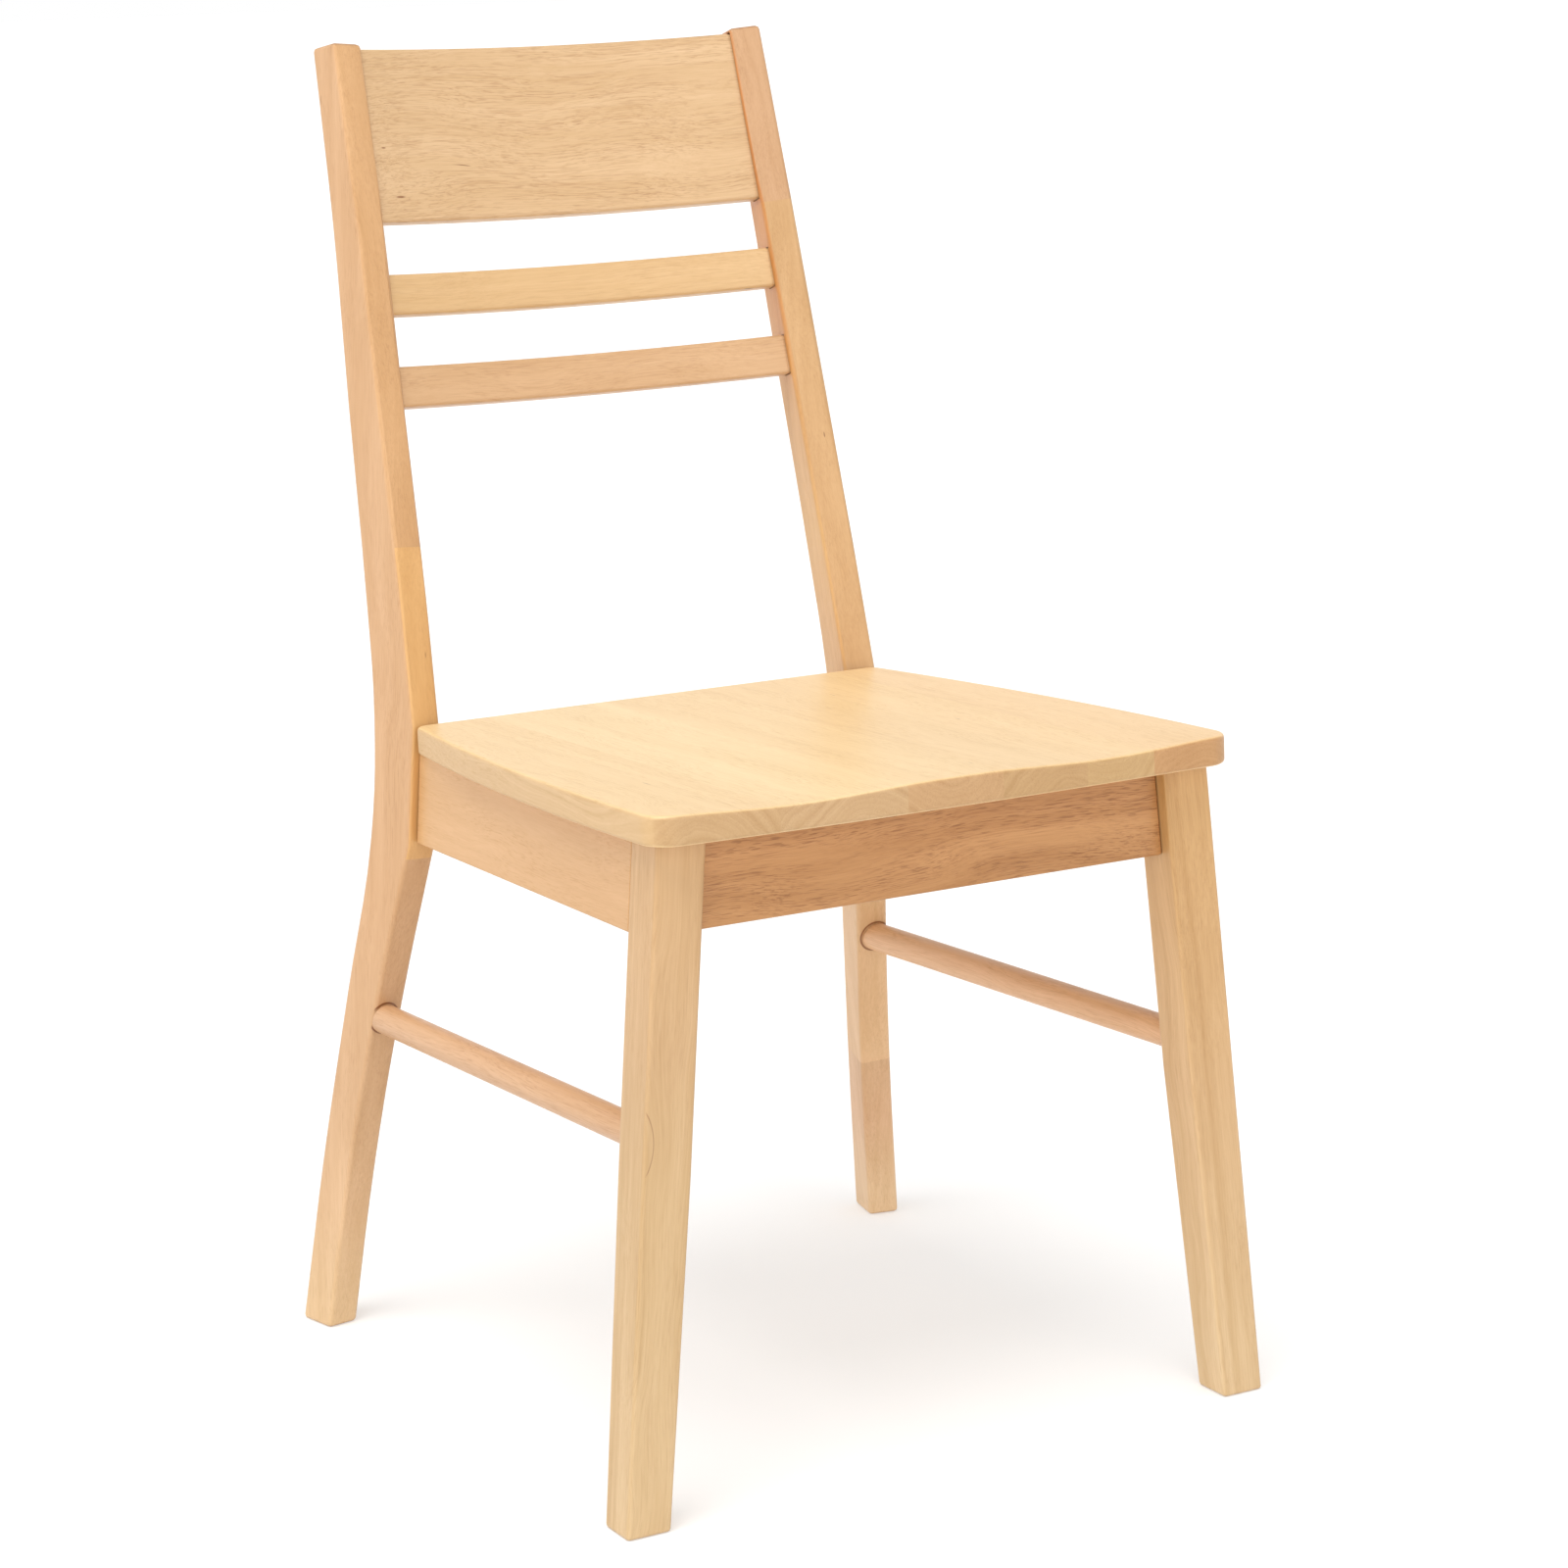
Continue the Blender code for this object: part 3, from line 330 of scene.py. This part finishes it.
def wood(name, points, seed, average, tone=1.2, lines=0.35, pores=0.4, **options):
    """A lacquered wood for the piece that holds the points, its grain along the piece.

    Options: grain is its direction, pith the rings' centre off the middle of the piece, contrast the
    ring contrast, depth_scale a stretch of the figure through the thickness, edge the share of end grain
    on the side edges, drift and facing_drift painted light and shade by height, the latter only on
    faces turned one way, end_tint the colour of end grain, marks its small blemishes, and
    scars thin dark arcs: cracks, and painted shadow lines round joints.
    """
    turn = grain_turn(points, options.get("grain"))
    pith = options.get("pith", (0.010, -0.050))
    contrast = options.get("contrast", 1.0)
    material = bpy.data.materials.new(name)
    material.use_nodes = True
    tree = material.node_tree
    shader = tree.nodes["Principled BSDF"]
    places = add_node(tree, "ShaderNodeTexCoord").outputs
    normal = places["Normal"]
    settings = {"Vector": places["Object"], "Rotation": turn.to_euler()}
    local = add_node(tree, "ShaderNodeMapping", settings, vector_type="TEXTURE").outputs[0]
    middle = turn.transposed() @ (Vector(np.min(points, 0)) + Vector(np.max(points, 0))) / 2
    offset = Vector((0.37 * seed, -pith[0], -pith[1])) - middle
    moved = vector_math(tree, "ADD", local, offset)[0]
    if "depth_scale" in options:
        moved = vector_math(tree, "MULTIPLY", moved, (1.0, 1.0, options["depth_scale"]))[0]
    end = facing_share(tree, normal, turn @ Vector((1.0, 0.0, 0.0)))
    if "edge" in options:
        side = facing_share(tree, normal, turn @ Vector((0.0, 1.0, 0.0)))
        end = arithmetic(tree, "MULTIPLY_ADD", side, options["edge"], end)
    figure = add_node(tree, "ShaderNodeGroup", node_tree=wood_figure)
    for key, value in (("Vector", moved), ("End", end)):
        tree.links.new(value, figure.inputs[key])
    light = [c * (1 + k * contrast) for c, k in zip(average, EARLY_LATE_SPREAD)]
    dark = [c * (1 - k * contrast) for c, k in zip(average, EARLY_LATE_SPREAD)]
    for key, value in (
        ("Light", (*light, 1.0)),
        ("Dark", (*dark, 1.0)),
        ("Tone", tone),
        ("Lines", lines),
        ("Pores", pores),
    ):
        figure.inputs[key].default_value = value
    colour = figure.outputs["Color"]
    # Painted light and shade: tints by height, on all faces or only on faces turned one way
    if "drift" in options:
        colour = painted_light_by_height(tree, places["Object"], colour, options["drift"])
    if "facing_drift" in options:
        direction, drift = options["facing_drift"]
        share = facing_share(tree, normal, direction, both_ways=False)
        colour = mix_colours(tree, share, colour, painted_light_by_height(tree, places["Object"], colour, drift))
    if "end_tint" in options:
        colour = mix_colours(tree, end, colour, (*options["end_tint"], 1.0), "MULTIPLY")
    # Marks and the leg's crack are the wood's own; the arcs round the stretchers' ends are painted shadow
    # lines
    shares = [mark_share(tree, local, turn, mark) for mark in options.get("marks", ())]
    shares += [dark_arc_share(tree, places["Object"], normal, dark_arc) for dark_arc in options.get("scars", ())]
    for share in shares:
        colour = mix_colours(tree, share, colour, MARK_AND_SHADOW_TINT, "MULTIPLY")
    tree.links.new(colour, shader.inputs["Base Color"])
    tree.links.new(figure.outputs["Roughness"], shader.inputs["Roughness"])
    bump = {**RELIEF, "Height": figure.outputs["Height"]}
    tree.links.new(add_node(tree, "ShaderNodeBump", bump).outputs[0], shader.inputs["Normal"])
    for key, value in LACQUER.items():
        shader.inputs[key].default_value = value
    material.diffuse_color = (*average, 1.0)
    return material


def steel(name):
    """Zinc-plated steel, slightly mottled."""
    material = bpy.data.materials.new(name)
    material.use_nodes = True
    tree = material.node_tree
    shader = tree.nodes["Principled BSDF"]
    places = add_node(tree, "ShaderNodeTexCoord").outputs["Object"]
    mottle = stretched_noise(tree, places, (900.0, 900.0, 900.0), 3.0)
    colour = mix_colours(tree, mottle, STEEL_DARK, STEEL_PALE)
    tree.links.new(colour, shader.inputs["Base Color"])
    tree.links.new(remap(tree, mottle, 0.2, 0.8, 0.28, 0.46), shader.inputs["Roughness"])
    shader.inputs["Metallic"].default_value = 1.0
    return material


def grain_turn(points, grain=None):
    """Rotation with X along the wood's length, and Z through its thinnest direction."""
    spread = np.cov(np.array(points, float).T)
    vectors = np.linalg.eigh(spread)[1]
    thin = Vector(vectors[:, 0])
    along = Vector(vectors[:, 2]) if grain is None else Vector(grain)
    along = along if along[max(range(3), key=lambda i: abs(along[i]))] > 0 else -along
    thin = thin if thin[max(range(3), key=lambda i: abs(thin[i]))] > 0 else -thin
    along.normalize()
    across = thin.cross(along).normalized()
    thin = along.cross(across)
    return Matrix((along, across, thin)).transposed()


# Pieces


def finished(piece, slot_name, *nodes):
    """Hangs a piece on the chair's root and hides its CAD nodes: it rides on the chair and stands for
    them.
    """
    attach(piece, "root")
    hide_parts(*nodes)
    return piece


def smooth_round(mesh):
    mesh.shade_smooth()
    mesh.set_sharp_from_angle(angle=SHARP_ANGLE)


def even_normals(piece):
    modifier = piece.modifiers.new("even_normals", "WEIGHTED_NORMAL")
    modifier.keep_sharp = True
    modifier.weight = 50


def slice_shape(shape, point, normal):
    """Adds edges where a plane crosses the faces."""
    faces = list(shape.faces)
    edges = {edge for face in faces for edge in face.edges}
    verts = {vert for face in faces for vert in face.verts}
    bmesh.ops.bisect_plane(shape, geom=[*verts, *edges, *faces], plane_co=point, plane_no=normal)


def whole_shape(node):
    """The CAD node's solid with whole faces in place of triangles."""
    shape = bmesh.new()
    shape.from_mesh(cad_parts[node].data)
    bmesh.ops.remove_doubles(shape, verts=shape.verts, dist=SAME_POINT)
    bmesh.ops.dissolve_limit(shape, angle_limit=FLAT_ANGLE, verts=shape.verts, edges=shape.edges)
    return shape


def piece_from(shape, name, slot_name, node):
    mesh = bpy.data.meshes.new(name)
    shape.to_mesh(mesh)
    shape.free()
    smooth_round(mesh)
    piece = bpy.data.objects.new(name, mesh)
    bpy.context.scene.collection.objects.link(piece)
    even_normals(piece)
    return finished(piece, slot_name, node)


def pinch_ends(shape, normals, housing, drop):
    """Thins a slat's ends from just outside their housings, for a fine shadow line round each joint."""
    for normal in normals:
        reach = max(vert.co.dot(normal) for vert in shape.verts)
        start = reach - housing - SHOULDER
        end = start + SHOULDER / 2
        slice_shape(shape, normal * start, normal)
        slice_shape(shape, normal * end, normal)
        shape.normal_update()
        moves = []
        for vert in shape.verts:
            share = min(1.0, max(0.0, (vert.co.dot(normal) - start) / (end - start)))
            level = vert.normal - normal * vert.normal.dot(normal)
            moves.append(level.normalized() * -drop * share if level.length > 0.1 else Vector())
        for vert, move in zip(shape.verts, moves):
            vert.co += move


def across_post(shape, joint):
    """Slices a post straight across its length, in the post's own frame."""
    along, edge, lean = joint
    slice_shape(shape, (0.0, edge, along), (0.0, lean, 1.0))


def beyond(face, joint):
    """Whether a face is further up the post than a joint."""
    along, edge, lean = joint
    middle = face.calc_center_median()
    return (middle.y - edge) * lean + middle.z - along > 0.0


def join_post(shape, side):
    """Marks by material the woods a post is glued up from: lengths end to end, or a strip on its front."""
    turn = Matrix.Rotation(-side * POST_TURN, 4, "Z") @ Matrix.Rotation(-side * POST_LEAN, 4, "Y")
    place = Matrix.Translation((side * POST_FOOT[0], POST_FOOT[1], 0.0)) @ turn
    bmesh.ops.transform(shape, matrix=place.inverted(), verts=shape.verts)
    if side > 0:
        for joint in LEFT_POST_JOINTS:
            across_post(shape, joint)
        for face in shape.faces:
            face.material_index = sum(not beyond(face, joint) for joint in LEFT_POST_JOINTS)
    else:
        for joint in (STRIP_TOP, STRIP_BOTTOM):
            across_post(shape, joint)
        shape.normal_update()
        for face in shape.faces:
            is_between = beyond(face, STRIP_BOTTOM) and not beyond(face, STRIP_TOP)
            face.material_index = int(is_between and face.normal.y < -STRAIGHT_FORWARD)
    bmesh.ops.transform(shape, matrix=place, verts=shape.verts)


def points_of(node):
    return [tuple(v.co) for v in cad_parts[node].data.vertices]


def corner_arc(centre, radius, start, end, steps):
    turn = [start + (end - start) * i / steps for i in range(steps + 1)]
    return [(centre[0] + radius * math.cos(a), centre[1] + radius * math.sin(a)) for a in turn]


def seat_outline():
    """Plan outline of the seat, the middle of its front edge at the origin."""
    quarter = math.pi / 2
    back_corner = (SEAT_BACK_HALF_WIDTH - SEAT_BACK_CORNER, SEAT_DEPTH - SEAT_BACK_CORNER)
    front_corner = (SEAT_FRONT_HALF_WIDTH - SEAT_FRONT_CORNER, SEAT_FRONT_BOW + SEAT_FRONT_CORNER)
    front = corner_arc(front_corner, SEAT_FRONT_CORNER, -quarter, 0.0, SEAT_FRONT_CORNER_STEPS)
    back = corner_arc(back_corner, SEAT_BACK_CORNER, 0.0, quarter, SEAT_BACK_CORNER_STEPS)
    side = []
    for i in range(1, SEAT_SIDE_STEPS):
        along = i / SEAT_SIDE_STEPS
        chord = SEAT_FRONT_HALF_WIDTH + (SEAT_BACK_HALF_WIDTH - SEAT_FRONT_HALF_WIDTH) * along
        bow = SEAT_SIDE_BOW * 4 * along * (1 - along)
        side.append((chord + bow, front_corner[1] + (back_corner[1] - front_corner[1]) * along))
    edge = []
    for i in range(1, SEAT_FRONT_STEPS):
        along = i / SEAT_FRONT_STEPS
        edge.append((front_corner[0] * along, SEAT_FRONT_BOW * along**2))
    half = [*edge, *front, *side, *back]
    other = [(-x, y) for x, y in reversed(half)]
    return [(0.0, 0.0), *half, *other]


def hollow_depth(x, y):
    """How far the seat's top is scooped out, fading towards the back."""
    across = min(abs(abs(x) - HOLLOW_OFFSET) / HOLLOW_HALF_WIDTH, 1.0)
    return HOLLOW_DEPTH * (1 - y / SEAT_DEPTH) * (0.5 + 0.5 * math.cos(math.pi * across))


def build_seat_board():
    """The seat panel with its two hollows, each stave with its own material."""
    shape = bmesh.new()
    top = [shape.verts.new((x, y, 0.0)) for x, y in seat_outline()]
    face = shape.faces.new(top)
    grown = bmesh.ops.extrude_face_region(shape, geom=[face])
    moved = [item for item in grown["geom"] if isinstance(item, bmesh.types.BMVert)]
    bmesh.ops.translate(shape, verts=moved, vec=(0.0, 0.0, -SEAT_THICKNESS))
    bmesh.ops.recalc_face_normals(shape, faces=shape.faces)
    rims = [edge for edge in shape.edges if abs(edge.verts[0].co.z - edge.verts[1].co.z) < 0.0001]
    rounding = {"offset": SEAT_EDGE_RADIUS, "segments": SEAT_EDGE_STEPS, "profile": 0.5, "affect": "EDGES"}
    bmesh.ops.bevel(shape, geom=rims, **rounding)
    for x in STAVE_JOINTS:
        slice_shape(shape, (x, 0.0, 0.0), (1.0, 0.0, 0.0))
    for i in range(-SEAT_SLICES_EACH_SIDE, SEAT_SLICES_EACH_SIDE + 1):
        slice_shape(shape, (i * SEAT_SLICE_WIDTH, 0.0, 0.0), (1.0, 0.0, 0.0))
    for i in range(1, SEAT_SLICES_ALONG):
        slice_shape(shape, (0.0, SEAT_DEPTH * i / SEAT_SLICES_ALONG, 0.0), (0.0, 1.0, 0.0))
    for vert in shape.verts:
        lift = max(0.0, min(1.0, 1 + vert.co.z / (SEAT_THICKNESS / 2)))
        vert.co.z -= hollow_depth(vert.co.x, vert.co.y) * lift
    for item in shape.faces:
        item.material_index = sum(item.calc_center_median().x > x for x in STAVE_JOINTS)
    low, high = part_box("seat_panel")
    lean = Matrix.Rotation(-math.atan(SEAT_PITCH), 4, "X")
    place = Matrix.Translation((0.0, low.y, high.z)) @ lean
    bmesh.ops.transform(shape, matrix=place, verts=shape.verts)
    mesh = bpy.data.meshes.new("seat_board")
    shape.to_mesh(mesh)
    shape.free()
    smooth_round(mesh)
    seat = bpy.data.objects.new("seat_board", mesh)
    bpy.context.scene.collection.objects.link(seat)
    even_normals(seat)
    return finished(seat, "seat_wood", "seat_panel")


# Studio


def make_camera():
    data = bpy.data.cameras.new("camera")
    data.lens = CAMERA_LENS
    data.sensor_width = SENSOR_WIDTH
    camera = bpy.data.objects.new("camera", data)
    bpy.context.scene.collection.objects.link(camera)
    turn = Matrix.Rotation(-CAMERA_YAW, 4, "Z") @ Matrix.Rotation(math.pi / 2 + CAMERA_PITCH, 4, "X")
    camera.matrix_world = Matrix.Translation(CAMERA_PLACE) @ turn @ Matrix.Rotation(CAMERA_ROLL, 4, "Z")
    bpy.context.scene.camera = camera


def make_sun(name, energy, direction, softness):
    data = bpy.data.lights.new(name, "SUN")
    data.energy = energy
    data.angle = math.radians(softness)
    data.color = WARM_WHITE
    light = bpy.data.objects.new(name, data)
    bpy.context.scene.collection.objects.link(light)
    light.rotation_mode = "QUATERNION"
    light.rotation_quaternion = Vector(direction).to_track_quat("-Z", "Y")


def make_floor():
    mesh = bpy.data.meshes.new("floor")
    corners = [(x * FLOOR_HALF, y * FLOOR_HALF, 0.0) for x, y in ((-1, -1), (1, -1), (1, 1), (-1, 1))]
    mesh.from_pydata(corners, [], [(0, 1, 2, 3)])
    floor = bpy.data.objects.new("floor", mesh)
    bpy.context.scene.collection.objects.link(floor)
    material = bpy.data.materials.new("floor")
    material.use_nodes = True
    shader = material.node_tree.nodes["Principled BSDF"]
    for key, value in FLOOR_LOOK.items():
        shader.inputs[key].default_value = value
    mesh.materials.append(material)


def make_world():
    """White at eye level, dimmer overhead."""
    world = bpy.data.worlds.new("studio")
    world.use_nodes = True
    tree = world.node_tree
    places = add_node(tree, "ShaderNodeTexCoord").outputs["Generated"]
    height = add_node(tree, "ShaderNodeSeparateXYZ", {0: places})
    back = tree.nodes["Background"]
    back.inputs["Color"].default_value = (1.0, 1.0, 1.0, 1.0)
    dimming = remap(tree, height.outputs[2], *WORLD_HEIGHTS, 1.0, WORLD_DIMMEST)
    tree.links.new(dimming, back.inputs["Strength"])
    bpy.context.scene.world = world


# Woods of the pieces

# The seat's staves from right to left: seed, average colour, pith, tint of end grain
STAVES = (
    (1.0, (0.790, 0.560, 0.285), (0.012, -0.030), (0.84, 0.82, 0.85)),
    (2.0, (0.805, 0.590, 0.310), (-0.016, -0.038), (0.83, 0.79, 0.82)),
    (3.0, (0.790, 0.560, 0.285), (0.006, 0.034), (0.83, 0.77, 0.78)),
    (4.0, (0.775, 0.540, 0.270), (-0.014, -0.026), (0.80, 0.77, 0.75)),
    (5.0, (0.790, 0.550, 0.278), (0.010, 0.030), (0.83, 0.83, 0.80)),
    (6.0, (0.770, 0.525, 0.265), (-0.008, -0.034), (0.82, 0.72, 0.65)),
)
STAVE_FIGURE = (0.9, 0.12, 0.12)  # tone, lines, pores
STAVE_LOOKS = {"contrast": 0.8, "grain": (0.0, 1.0, -SEAT_PITCH), "edge": 0.68}

# Node, slot, seed, average colour, tone, lines, pores
PIECES = (
    ("front_leg_left", "leg_wood", 1.0, (0.578, 0.394, 0.204), 2.0, 0.18, 0.08),
    ("front_leg_right", "leg_wood", 2.0, (0.563, 0.383, 0.193), 2.0, 0.18, 0.08),
    ("back_post_left", "post_wood", 3.0, (0.533, 0.308, 0.157), 1.6, 0.14, 0.12),
    ("back_post_right", "post_wood", 4.0, (0.624, 0.420, 0.224), 1.6, 0.14, 0.12),
    ("side_apron_left", "apron_wood", 5.0, (0.587, 0.332, 0.141), 1.4, 0.08, 0.12),
    ("side_apron_right", "apron_wood", 6.0, (0.587, 0.332, 0.141), 1.4, 0.08, 0.12),
    ("front_apron", "front_apron_wood", 7.0, (0.470, 0.223, 0.074), 2.6, 0.45, 0.5),
    ("back_apron", "apron_wood", 8.0, (0.59, 0.36, 0.17), 1.4, 0.15, 0.2),
    ("crest_slat", "slat_wood", 9.0, (0.604, 0.398, 0.212), 1.6, 0.38, 0.22),
    ("middle_slat", "slat_wood", 10.0, (0.630, 0.410, 0.200), 1.4, 0.15, 0.10),
    ("lower_slat", "slat_wood", 11.0, (0.576, 0.352, 0.181), 1.4, 0.24, 0.15),
    # The left stretcher's colour is partly painted light: paler than the right one, standing in for the
    # light it gets under the seat
    ("side_stretcher_left", "stretcher_wood", 12.0, (0.69, 0.405, 0.213), 1.6, 0.24, 0.15),
    ("side_stretcher_right", "stretcher_wood", 13.0, (0.565, 0.328, 0.170), 1.6, 0.24, 0.15),
)

# Looks beyond the plain ones, as options of wood(). A drift lists heights and the tint at each; the drifts
# and facing tints here are all painted light and shade. A mark is its centre, its reach along, across and
# through the wood, and its strength. A crack-and-shadow arc is the centre, direction and radius of a round
# surface, then the line's middle, reach, width and strength; the leg's is a crack, the posts' are painted
# shadow lines.
PALE = (1.0, 1.0, 1.0)
INWARDS_FROM_LEFT = (-1.0, 0.0, 0.0)
FORWARDS = (0.0, -1.0, 0.0)
# Painted light: the left leg's inner face made paler, standing in for light reaching it under the seat
LEG_INNER_PAINTED_LIGHT = (1.12, 1.17, 1.24)
# Painted warm light on the right post's front faces above the seat, making them yellower than its sides
POST_FRONT_PAINTED_LIGHT = (1.03, 1.0, 0.89)
LEG_SCAR_CENTRE = (-0.2480, -0.2522, 0.2467)
LEG_SCAR_MIDDLE = (-0.2075, -0.2522, 0.2467)
STRETCHER_END = (0.1952, 0.1600, 0.2267)  # on the left, where the stretcher meets the post's front
STRETCHER_AXIS = (0.0, 0.9994, -0.0334)
STRETCHER_EDGE_RADIUS = 0.0109


def socket_shadow_line(side):
    """The painted shadow line round a stretcher's end, on the front of its back post."""
    x, y, z = STRETCHER_END
    centre = (side * x, y, z)
    return (centre, STRETCHER_AXIS, STRETCHER_EDGE_RADIUS, centre, 0.020, 0.0010, 1.0)


# The left post's inner face, painted light and shade: redder and darker towards the top, where it stands
# in shade, and paler towards the seat
SIDE_PAINTED_LIGHT_AND_SHADE = (
    (0.46, (1.16, 1.12, 1.00)),
    (0.53, (1.16, 1.16, 1.04)),
    (0.57, (1.09, 1.06, 0.97)),
    (0.62, (1.02, 0.91, 0.70)),
    (0.68, (1.03, 0.80, 0.56)),
    (0.74, (1.06, 0.79, 0.52)),
)
SLAT_LOOKS = {"depth_scale": 0.25}
LOOKS = {
    "front_leg_left": {
        "contrast": 1.5,
        "facing_drift": (INWARDS_FROM_LEFT, ((0.0, LEG_INNER_PAINTED_LIGHT), (0.4, LEG_INNER_PAINTED_LIGHT))),
        # Painted light and shade: paler at the foot, darker towards the seat
        "drift": ((0.03, PALE), (0.21, (0.95, 0.86, 0.78)), (0.40, (0.91, 0.745, 0.53))),
    },
    "front_leg_right": {
        "contrast": 1.4,
        # Painted light and shade: paler at the foot, darker towards the seat
        "drift": (
            (0.03, PALE),
            (0.21, (1.0, 0.98, 0.97)),
            (0.30, (0.97, 0.90, 0.88)),
            (0.40, (0.96, 0.855, 0.785)),
        ),
        "scars": ((LEG_SCAR_CENTRE, (0.0, 1.0, 0.0), 0.0408, LEG_SCAR_MIDDLE, 0.0235, 0.0006, 0.5),),
    },
    "back_post_left": {"facing_drift": (INWARDS_FROM_LEFT, SIDE_PAINTED_LIGHT_AND_SHADE)},
    "back_post_right": {
        "facing_drift": (FORWARDS, ((0.30, PALE), (0.50, POST_FRONT_PAINTED_LIGHT), (0.86, POST_FRONT_PAINTED_LIGHT))),
        "scars": (socket_shadow_line(-1.0),),
        # Painted light and shade: paler at the foot, darker higher up
        "drift": (
            (0.02, PALE),
            (0.09, (0.97, 0.91, 0.91)),
            (0.18, (0.88, 0.78, 0.74)),
            (0.30, (0.92, 0.80, 0.75)),
        ),
    },
    "front_apron": {"contrast": 1.4},
    "crest_slat": {
        "depth_scale": 0.25,
        "marks": (
            ((-0.1273, 0.2258, 0.7757), (0.0050, 0.0011, 0.004), 0.9),
            ((-0.1351, 0.2329, 0.8086), (0.0022, 0.0009, 0.004), 0.8),
        ),
    },
    "middle_slat": SLAT_LOOKS,
    "lower_slat": SLAT_LOOKS,
}

# Further woods of a glued-up post: seed, average colour, tone, lines, pores, looks
# Painted light and shade: paler at the foot, darker higher up
FOOT_PAINTED_LIGHT = {"drift": ((0.02, PALE), (0.08, (0.93, 0.84, 0.83)), (0.12, (0.89, 0.81, 0.78)))}
JOINED = {
    "back_post_left": (
        (21.0, (0.547, 0.324, 0.143), 1.8, 0.12, 0.08, {"facing_drift": (INWARDS_FROM_LEFT, SIDE_PAINTED_LIGHT_AND_SHADE)}),
        (23.0, (0.667, 0.420, 0.217), 1.6, 0.12, 0.08, {"scars": (socket_shadow_line(1.0),)}),
        (24.0, (0.690, 0.466, 0.260), 1.8, 0.16, 0.10, FOOT_PAINTED_LIGHT),
    ),
    "back_post_right": ((22.0, (0.655, 0.373, 0.140), 1.6, 0.12, 0.08, {}),),
}

# Small parts: the dowels' seed and figure, and the blocks', whose seeds grow with their names
DOWEL_WOOD = (31.0, (0.62, 0.44, 0.26), 1.0, 0.3, 0.3)
BLOCK_FIRST_SEED = 40.0
BLOCK_FIGURE = ((0.60, 0.42, 0.25), 1.4, 0.35, 0.4)


def add_staves(seat):
    """Gives each stave of the seat its own wood, as if it were sawn from its own board."""
    seat_points = points_of("seat_panel")
    bounds_x = (-SEAT_FRONT_HALF_WIDTH, *STAVE_JOINTS, SEAT_FRONT_HALF_WIDTH)
    for (seed, average, pith, end_tint), start, end in zip(STAVES, bounds_x, bounds_x[1:]):
        share = (end - start) / (2 * SEAT_FRONT_HALF_WIDTH)
        points = [(start + (x + SEAT_FRONT_HALF_WIDTH) * share, y, z) for x, y, z in seat_points]
        looks = {"pith": pith, "end_tint": end_tint, **STAVE_LOOKS}
        stave = wood("seat_stave_%d" % seed, points, seed, average, *STAVE_FIGURE, **looks)
        seat.data.materials.append(stave)


def slat_ends():
    """Outward directions of a slat's two ends, square to the posts' inner faces."""
    ends = []
    for _, side in SIDES:
        turn = Matrix.Rotation(-side * POST_TURN, 3, "Z") @ Matrix.Rotation(-side * POST_LEAN, 3, "Y")
        ends.append(turn @ Vector((side, 0.0, 0.0)))
    return ends


def build_piece(node, slot_name, *figure):
    """A finished piece in place of its CAD node, with the woods that it is made of."""
    shape = whole_shape(node)
    if slot_name == "slat_wood":
        pinch_ends(shape, slat_ends(), SLAT_HOUSING, SHOULDER_DROP)
    if node in JOINED:
        join_post(shape, 1.0 if node.endswith("left") else -1.0)
    piece = piece_from(shape, node + "_finished", slot_name, node)
    points = points_of(node)
    piece.data.materials.append(wood(node + "_wood", points, *figure, **LOOKS.get(node, {})))
    for *joined_figure, looks in JOINED.get(node, ()):
        name = "%s_joined_wood_%d" % (node, joined_figure[0])
        piece.data.materials.append(wood(name, points, *joined_figure, **looks))


def finish_small_parts():
    """Finishes the parts kept as they are in the frame; dowels share a wood by grain direction."""
    screw_steel = steel("screw_steel")
    dowel_woods = {}
    for name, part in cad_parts.items():
        if name.startswith("dowel"):
            lengthwise = name.startswith("dowel_side")
            if lengthwise not in dowel_woods:
                dowel_woods[lengthwise] = wood("dowel_wood_%d" % lengthwise, points_of(name), *DOWEL_WOOD)
            finish = dowel_woods[lengthwise]
        elif name.endswith("screw"):
            finish = screw_steel
        elif name.startswith("corner_block"):
            seed = BLOCK_FIRST_SEED + len(name)
            finish = wood(name + "_wood", points_of(name), seed, *BLOCK_FIGURE)
        else:
            continue
        for place in part.material_slots:
            place.material = finish


make_camera()
make_world()
make_floor()
for sun in SUNS:
    make_sun(*sun)
bpy.context.scene.view_settings.view_transform = "Standard"

wood_figure = build_wood_figure()
add_staves(build_seat_board())
for values in PIECES:
    build_piece(*values)
finish_small_parts()
